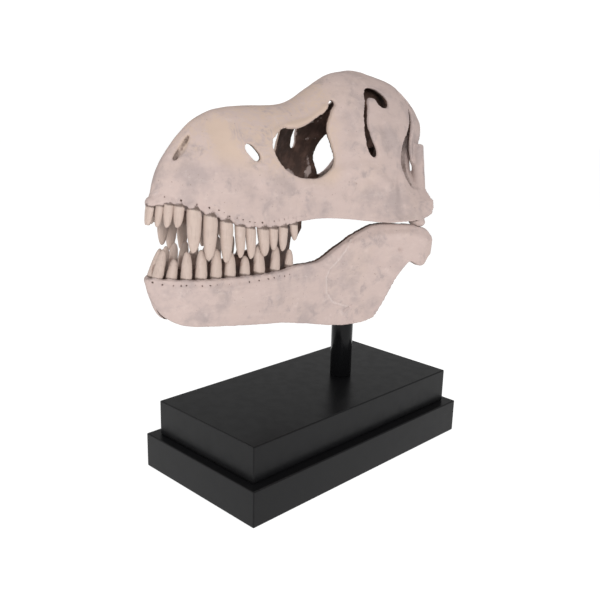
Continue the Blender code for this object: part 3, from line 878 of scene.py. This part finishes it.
def noise(tree, place, scale, detail=3.0, roughness=0.55, distortion=0.0):
    made = node(tree, "ShaderNodeTexNoise")
    made.inputs["Scale"].default_value = scale
    made.inputs["Detail"].default_value = detail
    made.inputs["Roughness"].default_value = roughness
    made.inputs["Distortion"].default_value = distortion
    link(tree, place, made.inputs["Vector"])
    return made.outputs["Fac"]


def ramp(tree, value, low, high, start=0.0, end=1.0):
    made = node(tree, "ShaderNodeMapRange", interpolation_type="SMOOTHSTEP")
    for name, number in (("From Min", low), ("From Max", high), ("To Min", start),
                         ("To Max", end)):
        made.inputs[name].default_value = number
    link(tree, value, made.inputs["Value"])
    return made.outputs["Result"]


def mixed(tree, mask, one, two, blend="MIX"):
    made = node(tree, "ShaderNodeMix", data_type="RGBA", blend_type=blend)
    for value, socket in ((mask, made.inputs[0]), (one, made.inputs[6]), (two, made.inputs[7])):
        if isinstance(value, bpy.types.NodeSocket):
            link(tree, value, socket)
        else:
            socket.default_value = value
    return made.outputs[2]


def times(tree, one, two, operation="MULTIPLY"):
    made = node(tree, "ShaderNodeMath", operation=operation)
    for value, socket in ((one, made.inputs[0]), (two, made.inputs[1])):
        if isinstance(value, bpy.types.NodeSocket):
            link(tree, value, socket)
        else:
            socket.default_value = value
    return made.outputs[0]


def brushed_patches():
    """Group: soft patches, fine brush streaks along the bone, specks and a height."""
    tree = bpy.data.node_groups.new("Brushed Patches", "ShaderNodeTree")
    face = tree.interface
    for label, kind, default in (("Base", "NodeSocketColor", (0.6, 0.49, 0.45, 1)),
                                 ("Cool", "NodeSocketColor", (0.5, 0.44, 0.45, 1)),
                                 ("Warm", "NodeSocketColor", (0.66, 0.5, 0.39, 1)),
                                 ("Speck", "NodeSocketColor", (0.2, 0.15, 0.13, 1)),
                                 ("Patch Size", "NodeSocketFloat", 22.0),
                                 ("Streaks", "NodeSocketFloat", 0.24),
                                 ("Smudges", "NodeSocketFloat", 0.75),
                                 ("Specks", "NodeSocketFloat", 0.5)):
        face.new_socket(label, in_out="INPUT", socket_type=kind).default_value = default
    for label, kind in (("Color", "NodeSocketColor"), ("Height", "NodeSocketFloat"),
                        ("Roughness", "NodeSocketFloat")):
        face.new_socket(label, in_out="OUTPUT", socket_type=kind)
    given = node(tree, "NodeGroupInput")
    made = node(tree, "NodeGroupOutput")
    place = node(tree, "ShaderNodeTexCoord").outputs["Object"]
    big = node(tree, "ShaderNodeTexNoise")
    big.inputs["Detail"].default_value = 4.0
    big.inputs["Roughness"].default_value = 0.6
    link(tree, place, big.inputs["Vector"])
    link(tree, given.outputs["Patch Size"], big.inputs["Scale"])
    shifted = node(tree, "ShaderNodeMapping")
    shifted.inputs["Location"].default_value = (3.1, 1.7, 5.3)
    link(tree, place, shifted.inputs["Vector"])
    other = noise(tree, shifted.outputs[0], 15.0, 5.0, 0.62)
    stretched = node(tree, "ShaderNodeMapping")
    stretched.inputs["Rotation"].default_value = (math.radians(-10), 0, math.radians(6))
    stretched.inputs["Scale"].default_value = (1.0, 0.16, 1.0)
    link(tree, place, stretched.inputs["Vector"])
    streak = noise(tree, stretched.outputs[0], 150.0, 6.0, 0.68, 0.6)
    fine = noise(tree, place, 900.0, 3.0, 0.6)
    speck = noise(tree, place, 330.0, 2.0, 0.5)
    cool = ramp(tree, big.outputs["Fac"], 0.47, 0.68)
    warm = ramp(tree, other, 0.5, 0.7)
    colour = mixed(tree, times(tree, cool, 0.55), given.outputs["Base"], given.outputs["Cool"])
    colour = mixed(tree, times(tree, warm, 0.18), colour, given.outputs["Warm"])
    pale = ramp(tree, streak, 0.5, 0.78)
    colour = mixed(tree, times(tree, pale, given.outputs["Streaks"]), colour,
                   (0.62, 0.53, 0.49, 1))
    dim = ramp(tree, streak, 0.5, 0.25)
    colour = mixed(tree, times(tree, times(tree, dim, given.outputs["Streaks"]), 0.7), colour,
                   given.outputs["Cool"])
    moved = node(tree, "ShaderNodeMapping")
    moved.inputs["Location"].default_value = (7.7, 2.9, 1.3)
    link(tree, place, moved.inputs["Vector"])
    smudge = noise(tree, moved.outputs[0], 44.0, 7.0, 0.66, 0.4)
    colour = mixed(tree, times(tree, ramp(tree, smudge, 0.53, 0.72), given.outputs["Smudges"]),
                   colour, given.outputs["Cool"])
    rub = noise(tree, shifted.outputs[0], 70.0, 6.0, 0.7, 0.2)
    colour = mixed(tree, times(tree, ramp(tree, rub, 0.56, 0.74), 0.35), colour,
                   (0.6, 0.5, 0.47, 1))
    dots = times(tree, ramp(tree, speck, 0.68, 0.76), given.outputs["Specks"])
    colour = mixed(tree, dots, colour, given.outputs["Speck"])
    link(tree, colour, made.inputs["Color"])
    height = times(tree, times(tree, streak, 0.6), times(tree, fine, 0.4), "ADD")
    height = times(tree, height, times(tree, other, 0.8), "ADD")
    link(tree, height, made.inputs["Height"])
    link(tree, ramp(tree, streak, 0.3, 0.7, 0.72, 0.9), made.inputs["Roughness"])
    return tree


def fresh_material(name):
    material = bpy.data.materials.new(name)
    material.use_nodes = True
    tree = material.node_tree
    return material, tree, tree.nodes["Principled BSDF"]


def mask_value(tree, name):
    return node(tree, "ShaderNodeAttribute", attribute_name=name).outputs["Fac"]


def bone_paint(group, sizes):
    """Matt painted cast: pale brushed bone outside, brown inside that is partly stained paint and
    partly painted shade, and painted shade in pits and crevices.
    """
    material, tree, shader = fresh_material("cast_bone_paint")
    patches = node(tree, "ShaderNodeGroup", node_tree=group)
    patches.inputs["Base"].default_value = (*sizes.bone_colour, 1)
    patches.inputs["Cool"].default_value = (*sizes.cool_colour, 1)
    patches.inputs["Warm"].default_value = (*sizes.warm_colour, 1)
    place = node(tree, "ShaderNodeTexCoord").outputs["Object"]
    brown = (*sizes.stain_and_shade_colour, 1)
    # Blotchy brown of the inside, partly stained paint and partly painted shade of the hollows.
    blotch = noise(tree, place, 60.0, 3.0)
    inner_stain_and_shade = mixed(tree, ramp(tree, blotch, 0.4, 0.75), brown,
                  tuple(c * 2.3 for c in sizes.stain_and_shade_colour) + (1,))
    colour = mixed(tree, times(tree, mask_value(tree, "line"), 0.45), patches.outputs["Color"],
                   (0.62, 0.55, 0.52, 1))
    colour = mixed(tree, mask_value(tree, "lip"), colour, (*sizes.warm_colour, 1))
    ragged = times(tree, times(tree, noise(tree, place, 240.0, 3.0), 0.4), 0.2, "SUBTRACT")
    inner = ramp(tree, times(tree, mask_value(tree, "inner"), ragged, "ADD"), 0.3, 0.72)
    colour = mixed(tree, inner, colour, inner_stain_and_shade)
    # Painted shade: brown in the pits, slit, hollow, nostril and the crevices round the teeth.
    recess_shade = ramp(tree, times(tree, mask_value(tree, "recess_shade"), ragged, "ADD"), 0.3, 0.8)
    colour = mixed(tree, recess_shade, colour, brown)
    link(tree, colour, shader.inputs["Base Color"])
    link(tree, patches.outputs["Roughness"], shader.inputs["Roughness"])
    shader.inputs["Specular IOR Level"].default_value = 0.3
    bump = node(tree, "ShaderNodeBump")
    bump.inputs["Strength"].default_value = 0.35
    bump.inputs["Distance"].default_value = 0.0009
    link(tree, patches.outputs["Height"], bump.inputs["Height"])
    link(tree, bump.outputs[0], shader.inputs["Normal"])
    return material


def tooth_paint(group, sizes):
    """Creamier paint of the teeth, with fine grooves down them, painted shade at the foot and
    painted shade on the inner side.
    """
    material, tree, shader = fresh_material("tooth_paint")
    patches = node(tree, "ShaderNodeGroup", node_tree=group)
    patches.inputs["Base"].default_value = (*sizes.tooth_colour, 1)
    patches.inputs["Cool"].default_value = (*[c * 0.9 for c in sizes.tooth_colour], 1)
    patches.inputs["Warm"].default_value = (*sizes.warm_colour, 1)
    patches.inputs["Patch Size"].default_value = 60.0
    patches.inputs["Streaks"].default_value = 0.15
    patches.inputs["Specks"].default_value = 0.25
    place = node(tree, "ShaderNodeTexCoord").outputs["Object"]
    tall = node(tree, "ShaderNodeMapping")
    tall.inputs["Scale"].default_value = (1.0, 1.0, 0.09)
    link(tree, place, tall.inputs["Vector"])
    groove = noise(tree, tall.outputs[0], 520.0, 2.0, 0.5)
    brown = (*sizes.stain_and_shade_colour, 1)
    colour = mixed(tree, times(tree, ramp(tree, groove, 0.55, 0.72), 0.3),
                   patches.outputs["Color"], tuple(c * 0.62 for c in sizes.tooth_colour) + (1,))
    ragged = times(tree, times(tree, noise(tree, place, 300.0, 3.0), 0.6), 0.3, "SUBTRACT")
    # Painted shade: brown at the foot, where the tooth goes into the bone.
    foot = ramp(tree, times(tree, mask_value(tree, "foot"), ragged, "ADD"), 0.45, 0.95)
    colour = mixed(tree, times(tree, foot, 0.8), colour, brown)
    # Painted shade: brown on the inner side, which faces into the mouth.
    inner = ramp(tree, times(tree, mask_value(tree, "inner"), ragged, "ADD"), 0.35, 0.8)
    colour = mixed(tree, times(tree, inner, 0.7), colour, tuple(c * 2.6 for c in
                                                                sizes.stain_and_shade_colour) + (1,))
    link(tree, colour, shader.inputs["Base Color"])
    link(tree, ramp(tree, groove, 0.3, 0.7, 0.5, 0.66), shader.inputs["Roughness"])
    shader.inputs["Specular IOR Level"].default_value = 0.35
    bump = node(tree, "ShaderNodeBump")
    bump.inputs["Strength"].default_value = 0.4
    bump.inputs["Distance"].default_value = 0.0005
    link(tree, groove, bump.inputs["Height"])
    link(tree, bump.outputs[0], shader.inputs["Normal"])
    return material


def worn_edges():
    """Group: a mask of fine scuffs, and soft wavering of a lacquer's gloss."""
    tree = bpy.data.node_groups.new("Lacquer Wear", "ShaderNodeTree")
    face = tree.interface
    for label, default in (("Scale", 60.0), ("Amount", 0.5)):
        face.new_socket(label, in_out="INPUT", socket_type="NodeSocketFloat").default_value = default
    for label in ("Scuffs", "Gloss", "Height"):
        face.new_socket(label, in_out="OUTPUT", socket_type="NodeSocketFloat")
    given = node(tree, "NodeGroupInput")
    made = node(tree, "NodeGroupOutput")
    place = node(tree, "ShaderNodeTexCoord").outputs["Object"]
    broad = node(tree, "ShaderNodeTexNoise")
    broad.inputs["Detail"].default_value = 5.0
    link(tree, place, broad.inputs["Vector"])
    link(tree, given.outputs["Scale"], broad.inputs["Scale"])
    long = node(tree, "ShaderNodeMapping")
    long.inputs["Scale"].default_value = (1.0, 0.05, 1.0)
    long.inputs["Rotation"].default_value = (0, 0, math.radians(25))
    link(tree, place, long.inputs["Vector"])
    scratch = noise(tree, long.outputs[0], 900.0, 2.0, 0.5)
    dust = noise(tree, place, 1400.0, 2.0, 0.5)
    scuffs = times(tree, ramp(tree, scratch, 0.7, 0.82), given.outputs["Amount"])
    link(tree, scuffs, made.inputs["Scuffs"])
    link(tree, ramp(tree, broad.outputs["Fac"], 0.3, 0.7), made.inputs["Gloss"])
    link(tree, times(tree, dust, times(tree, scratch, 0.3), "ADD"), made.inputs["Height"])
    return tree


def lacquer(name, group, colour, gloss, wear, bump_height):
    """Black paint with faint scuffs."""
    material, tree, shader = fresh_material(name)
    worn = node(tree, "ShaderNodeGroup", node_tree=group)
    worn.inputs["Amount"].default_value = wear
    tone = mixed(tree, worn.outputs["Scuffs"], (*colour, 1), (0.06, 0.06, 0.062, 1))
    link(tree, tone, shader.inputs["Base Color"])
    rough = ramp(tree, worn.outputs["Gloss"], 0.0, 1.0, gloss[0], gloss[1])
    rough = times(tree, rough, times(tree, worn.outputs["Scuffs"], 0.25), "ADD")
    link(tree, rough, shader.inputs["Roughness"])
    shader.inputs["Specular IOR Level"].default_value = 0.16
    bump = node(tree, "ShaderNodeBump")
    bump.inputs["Strength"].default_value = 0.3
    bump.inputs["Distance"].default_value = bump_height
    link(tree, worn.outputs["Height"], bump.inputs["Height"])
    link(tree, bump.outputs[0], shader.inputs["Normal"])
    return material


def shared_group(name, maker):
    return bpy.data.node_groups.get(name) or maker()


# ---------------------------------------------------------------- settings
class SkullReplicaSettings(bpy.types.PropertyGroup):
    grid: FloatProperty(
        name="Grid", description="Cell size of the grid that the bone is melted on",
        default=0.0016, min=0.0008, max=0.004, unit="LENGTH")
    cranium_faces: IntProperty(
        name="Cranium Faces", description="Most triangles in the cranium", default=190000,
        min=20000, max=198000)
    jaw_faces: IntProperty(
        name="Jaw Faces", description="Most triangles in the lower jaw", default=120000,
        min=20000, max=198000)
    lumps: FloatProperty(
        name="Lumps", description="Height in millimetres of the bone's gentle unevenness",
        default=0.55, min=0.0, max=2.0)
    pit_depth: FloatProperty(
        name="Pit Depth", description="Depth in millimetres of the small pits by the teeth",
        default=1.0, min=0.0, max=2.0)
    rod_diameter: FloatProperty(
        name="Rod Diameter", description="Diameter of the upright", default=0.032,
        min=0.02, max=0.04, unit="LENGTH")
    bone_colour: FloatVectorProperty(
        name="Bone", description="Main paint of the bone", subtype="COLOR",
        default=(0.475, 0.375, 0.345), min=0, max=1)
    cool_colour: FloatVectorProperty(
        name="Cool Patches", description="Greyer paint that shows in patches",
        subtype="COLOR", default=(0.3, 0.25, 0.245), min=0, max=1)
    warm_colour: FloatVectorProperty(
        name="Warm Patches", description="Ochre paint that shows in patches and on lips",
        subtype="COLOR", default=(0.5, 0.385, 0.315), min=0, max=1)
    tooth_colour: FloatVectorProperty(
        name="Teeth", description="Paint of the teeth", subtype="COLOR",
        default=(0.47, 0.37, 0.32), min=0, max=1)
    # Brown of the skull's inside, partly stained paint and partly painted shade; also the painted
    # shade in pits, crevices and on the teeth.
    stain_and_shade_colour: FloatVectorProperty(
        name="Stain", description="Brown stain inside the skull", subtype="COLOR",
        default=(0.06, 0.034, 0.026), min=0, max=1)
    lacquer_colour: FloatVectorProperty(
        name="Lacquer", description="Black paint of the stand", subtype="COLOR",
        default=(0.005, 0.005, 0.0055), min=0, max=1)


def settings():
    return bpy.context.scene.skull_replica


# ---------------------------------------------------------------- operators
class SKULL_OT_cranium(bpy.types.Operator):
    """Melt the upper skull into one skin and paint it"""
    bl_idname = "skull.cranium"
    bl_label = "Cranium"

    def execute(self, context):
        sizes = settings()
        skin = Skin(CRANIUM_STATIONS, LEVELS)
        row = tooth_places(skin, 1.0, UPPER_TEETH, UPPER_SET, 1)
        obj = heap("cranium", [cranium_solid(skin)] + skull_inside() + socket_rims(row, 1))
        melted(obj, sizes.grid, 3)
        places, normals = corners(obj.data)
        points = to_skull(places)
        pits = both_sides(on_side(skin, UPPER_PITS))
        height = sizes.lumps * (0.7 * waves(points, 26, 11) + 0.45 * waves(points, 9, 12))
        height += relief(points, skin, SKULL_RELIEF)
        near_pit = nearest(points, pits)
        height -= sizes.pit_depth * smooth_step(2.6, 0.6, near_pit)
        moved_along_normals(obj, height)
        thinned(obj, sizes.cranium_faces)
        points = to_skull(corners(obj.data)[0])
        cloud = skin.spread(170, 110)
        depth = nearest(points, both_sides(cloud))
        # Brown inside of the skull: partly stained paint and partly painted shade, laid where the
        # form hides a point from the open air.
        open_air = openness(obj)
        ahead = points[:, 1] - OCCIPUT_FOOT + math.tan(OCCIPUT_LEAN) * points[:, 2]
        keep_mask(obj.data, "inner", smooth_step(2.4, 4.8, depth)
                  * smooth_step(1.0, 0.82, open_air) * smooth_step(4.0, 9.0, ahead))
        # Painted shade: brown in the pits, in the crevices round the teeth and on the nostril's
        # walls.
        hollow = both_sides(line_points([(side - 1, along, up)
                                         for side, along, up in NOSTRIL[0]], 1.5))
        recess_shade_mask = np.maximum(smooth_step(2.0, 0.7, nearest(points, pits)), tooth_crevice(obj, "upper"))
        recess_shade_mask = np.maximum(recess_shade_mask, 0.62 * smooth_step(6.2, 3.2, nearest(points, hollow))
                          * smooth_step(0.6, 2.2, depth))
        keep_mask(obj.data, "recess_shade", recess_shade_mask)
        keep_mask(obj.data, "line", np.zeros(len(points)))
        under = smooth_step(0.4, 1.6, depth) * smooth_step(5.0, 3.0, depth)
        lip = under * smooth_step(10, 40, points[:, 2]) * smooth_step(130, 150, points[:, 1])
        keep_mask(obj.data, "lip", lip)
        placed(obj)
        obj.data.materials.clear()
        obj.data.materials.append(bone_paint(shared_group("Brushed Patches", brushed_patches),
                                             sizes))
        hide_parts(*SKULL_NODES)
        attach(obj, "root")
        return {"FINISHED"}


class SKULL_OT_jaw(bpy.types.Operator):
    """Melt the lower jaw into one skin and paint it"""
    bl_idname = "skull.jaw"
    bl_label = "Lower Jaw"

    def execute(self, context):
        sizes = settings()
        skin = Skin(JAW_STATIONS, JAW_LEVELS)
        row = tooth_places(skin, 0.0, LOWER_TEETH, LOWER_SET, -1)
        obj = heap("lower_jaw", [ramus(skin, 1), ramus(skin, -1)] + socket_rims(row, -1))
        melted(obj, sizes.grid, 3)
        for hand in (1, -1):
            side, along, up = JOINT[0]
            room = [half + SOCKET_ROOM for half in JOINT[1]]
            combine(obj, ball("socket", (hand * side, along, up), room), "DIFFERENCE")
        combine(obj, bracket_pocket(), "DIFFERENCE")
        points = to_skull(corners(obj.data)[0])
        suture = both_sides(on_side(skin, [tuple(p) for p in line_points(JAW_SUTURE, 1.5)]))
        slit = both_sides(on_side(skin, [tuple(p) for p in line_points(JAW_SLIT, 1.0)]))
        hollow = both_sides(on_side(skin, [JAW_HOLLOW]))
        pits = both_sides(on_side(skin, LOWER_PITS))
        height = sizes.lumps * (0.7 * waves(points, 26, 21) + 0.45 * waves(points, 9, 22))
        height += relief(points, skin, JAW_RELIEF)
        line = nearest(points, suture)
        height += 0.8 * smooth_step(2.4, 0.4, line) - 0.5 * smooth_step(2.0, 0.0, abs(line - 3.6))
        height -= sizes.pit_depth * smooth_step(2.6, 0.6, nearest(points, pits))
        height -= 2.2 * smooth_step(2.8, 0.4, nearest(points, slit))
        height -= 2.5 * smooth_step(5.0, 1.0, nearest(points, hollow))
        moved_along_normals(obj, height)
        thinned(obj, sizes.jaw_faces)
        points = to_skull(corners(obj.data)[0])
        cloud = skin.spread(200, 50)
        depth = nearest(points, both_sides(cloud))
        rear = smooth_step(110, 60, points[:, 1])
        keep_mask(obj.data, "inner", smooth_step(4.5 - 1.5 * rear, 8.0 - 2.0 * rear, depth))
        # Painted shade: brown in the pits, the slit, the hollow and the crevices round the teeth.
        recess_shade_mask = np.maximum(smooth_step(2.0, 0.7, nearest(points, pits)),
                          np.maximum(smooth_step(2.4, 0.8, nearest(points, slit)),
                                     smooth_step(4.2, 1.8, nearest(points, hollow))))
        recess_shade_mask = np.maximum(recess_shade_mask, tooth_crevice(obj, "lower"))
        keep_mask(obj.data, "recess_shade", recess_shade_mask)
        keep_mask(obj.data, "line", smooth_step(1.7, 0.5, nearest(points, suture)))
        keep_mask(obj.data, "lip", np.zeros(len(points)))
        placed(obj)
        obj.data.materials.clear()
        obj.data.materials.append(bone_paint(shared_group("Brushed Patches", brushed_patches),
                                             sizes))
        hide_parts(*JAW_NODES)
        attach(obj, "root")
        return {"FINISHED"}


class SKULL_OT_teeth(bpy.types.Operator):
    """Grow both rows of teeth from their roots"""
    bl_idname = "skull.teeth"
    bl_label = "Teeth"

    def execute(self, context):
        sizes = settings()
        paint = tooth_paint(shared_group("Brushed Patches", brushed_patches), sizes)
        tree = tooth_tree(paint)
        for name, stations, levels, level, teeth, setting, down in (
                ("upper_teeth", CRANIUM_STATIONS, LEVELS, 1.0, UPPER_TEETH, UPPER_SET, 1),
                ("lower_teeth", JAW_STATIONS, JAW_LEVELS, 0.0, LOWER_TEETH, LOWER_SET, -1)):
            skin = Skin(stations, levels)
            row = tooth_places(skin, level, teeth, setting, down)
            obj = weld(grown(tooth_points(name, row, down), tree, {"Seed": 3 + down}))
            points = to_skull(corners(obj.data)[0])
            # Painted shade at each tooth's foot, where it goes into the bone.
            feet = both_sides([tuple(foot) for foot, *_ in row])
            gum = -foot_line(points, feet, down)
            keep_mask(obj.data, "foot", smooth_step(6.0, 0.5, gum))
            # Painted shade on the teeth's inner sides, which face into the mouth.
            centres = nearest(points, both_sides([tuple(f + o * 30) for f, _, _, o, _ in row]))
            keep_mask(obj.data, "inner", smooth_step(29.0, 37.0, centres)
                      * smooth_step(30, 4, gum))
            placed(obj)
            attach(obj, "root")
        return {"FINISHED"}


class SKULL_OT_stand(bpy.types.Operator):
    """Round the upright and lacquer the stand"""
    bl_idname = "skull.stand"
    bl_label = "Stand"

    def execute(self, context):
        sizes = settings()
        wear = shared_group("Lacquer Wear", worn_edges)
        satin = lacquer("satin_black_boards", wear, sizes.lacquer_colour, (0.3, 0.36), 0.2,
                        0.00008)
        gloss = lacquer("gloss_black_rod", wear, sizes.lacquer_colour, (0.16, 0.24), 0.2,
                        0.00004)
        for name in BOARDS:
            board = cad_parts[name]
            for slot in board.material_slots:
                slot.material = satin
        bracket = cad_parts["stand_bracket"]
        for slot in bracket.material_slots:
            slot.material = satin
        low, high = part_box("stand_rod")
        body = bmesh.new()
        rings = []
        radius = sizes.rod_diameter / 2
        edge = 0.0008
        profile = ((0.0, low[2]), (radius - edge, low[2]), (radius, low[2] + edge),
                   (radius, high[2] - edge), (radius - edge, high[2]), (0.0, high[2]))
        middle = Vector(((low[0] + high[0]) / 2, (low[1] + high[1]) / 2, 0))
        count = 96
        for distance, z in profile[1:-1]:
            rings.append([body.verts.new((middle.x + distance * math.cos(math.tau * k / count),
                                          middle.y + distance * math.sin(math.tau * k / count),
                                          z)) for k in range(count)])
        for one, two in zip(rings, rings[1:]):
            for k in range(count):
                body.faces.new((one[k - 1], one[k], two[k], two[k - 1]))
        body.faces.new(rings[0][::-1])
        body.faces.new(rings[-1])
        bmesh.ops.recalc_face_normals(body, faces=body.faces)
        mesh = bpy.data.meshes.new("rod")
        body.to_mesh(mesh)
        body.free()
        for face in mesh.polygons:
            face.use_smooth = len(face.vertices) == 4
        mesh.materials.append(gloss)
        rod = new_object("rod", mesh)
        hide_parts("stand_rod")
        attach(rod, "root")
        return {"FINISHED"}


class SKULL_OT_stage(bpy.types.Operator):
    """Lay the pale floor, light it softly and set the camera"""
    bl_idname = "skull.stage"
    bl_label = "Stage"

    def execute(self, context):
        floor_mesh = bpy.data.meshes.new("floor")
        reach = 6.0
        floor_mesh.from_pydata([(-reach, -reach, 0), (reach, -reach, 0), (reach, reach, 0),
                                (-reach, reach, 0)], [], [(0, 1, 2, 3)])
        floor = new_object("floor", floor_mesh)
        material, tree, shader = fresh_material("pale_floor")
        place = node(tree, "ShaderNodeTexCoord").outputs["Object"]
        tone = mixed(tree, noise(tree, place, 3.0), (0.34, 0.34, 0.34, 1),
                     (0.36, 0.36, 0.36, 1))
        link(tree, tone, shader.inputs["Base Color"])
        shader.inputs["Roughness"].default_value = 0.9
        shader.inputs["Specular IOR Level"].default_value = 0.0
        shader.inputs["Emission Color"].default_value = (1, 1, 1, 1)
        shader.inputs["Emission Strength"].default_value = 0.85
        floor_mesh.materials.append(material)

        context.scene.view_settings.view_transform = "Standard"
        world = bpy.data.worlds.new("studio")
        context.scene.world = world
        world.use_nodes = True
        sky = world.node_tree.nodes["Background"]
        sky.inputs["Color"].default_value = (1, 1, 1, 1)
        path = node(world.node_tree, "ShaderNodeLightPath")
        link(world.node_tree, ramp(world.node_tree, path.outputs["Is Camera Ray"], 0.0, 1.0,
                                   0.45, 1.1), sky.inputs["Strength"])

        target = Vector((0, 0, 0.33))
        for name, place, size, power in (("key", (1.6, -1.3, 1.0), 0.9, 29),
                                         ("fill", (-1.2, -1.7, 0.8), 1.2, 8),
                                         ("top", (0.4, 0.9, 2.3), 1.2, 7)):
            lamp = bpy.data.lights.new(name, "AREA")
            lamp.shape = "DISK"
            lamp.size = size
            lamp.energy = power
            light = new_object(name, lamp)
            light.location = place
            light.rotation_euler = (target - Vector(place)).to_track_quat("-Z", "Y").to_euler()

        lens = bpy.data.cameras.new("camera")
        lens.lens = 47.64
        lens.sensor_width = 36.0
        lens.clip_start = 0.01
        camera = new_object("camera", lens)
        camera.matrix_world = camera_placement()
        context.scene.camera = camera
        return {"FINISHED"}


def camera_placement():
    """The camera looks down at the left front of the skull, rolled a little."""
    pitch, yaw, roll = math.radians(15.87), math.radians(44.54), math.radians(1.45)
    back = Vector((math.sin(yaw) * math.cos(pitch), -math.cos(yaw) * math.cos(pitch),
                   math.sin(pitch)))
    level = Vector((0, 0, 1)).cross(back).normalized()
    upright = back.cross(level)
    right = math.cos(roll) * level + math.sin(roll) * upright
    above = -math.sin(roll) * level + math.cos(roll) * upright
    turn = Matrix((right, above, back)).transposed().to_4x4()
    return Matrix.Translation((0.7536, -0.7928, 0.540)) @ turn


class SKULL_PT_panel(bpy.types.Panel):
    """Sizes, paints and steps of the skull replica"""
    bl_idname = "SKULL_PT_panel"
    bl_label = "Skull Replica"
    bl_space_type = "VIEW_3D"
    bl_region_type = "UI"
    bl_category = "Skull"

    def draw(self, context):
        layout = self.layout
        sizes = context.scene.skull_replica
        for name in SkullReplicaSettings.__annotations__:
            layout.prop(sizes, name)
        for step in STEPS:
            layout.operator(step.bl_idname)


STEPS = (SKULL_OT_teeth, SKULL_OT_cranium, SKULL_OT_jaw, SKULL_OT_stand, SKULL_OT_stage)
CLASSES = (SkullReplicaSettings, *STEPS, SKULL_PT_panel)


def register():
    for cls in CLASSES:
        bpy.utils.register_class(cls)
    bpy.types.Scene.skull_replica = PointerProperty(type=SkullReplicaSettings)


def unregister():
    del bpy.types.Scene.skull_replica
    for cls in reversed(CLASSES):
        bpy.utils.unregister_class(cls)


def main():
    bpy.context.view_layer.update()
    register()
    bpy.ops.skull.teeth()
    bpy.ops.skull.cranium()
    bpy.ops.skull.jaw()
    bpy.ops.skull.stand()
    bpy.ops.skull.stage()


if __name__ == "__main__":
    main()
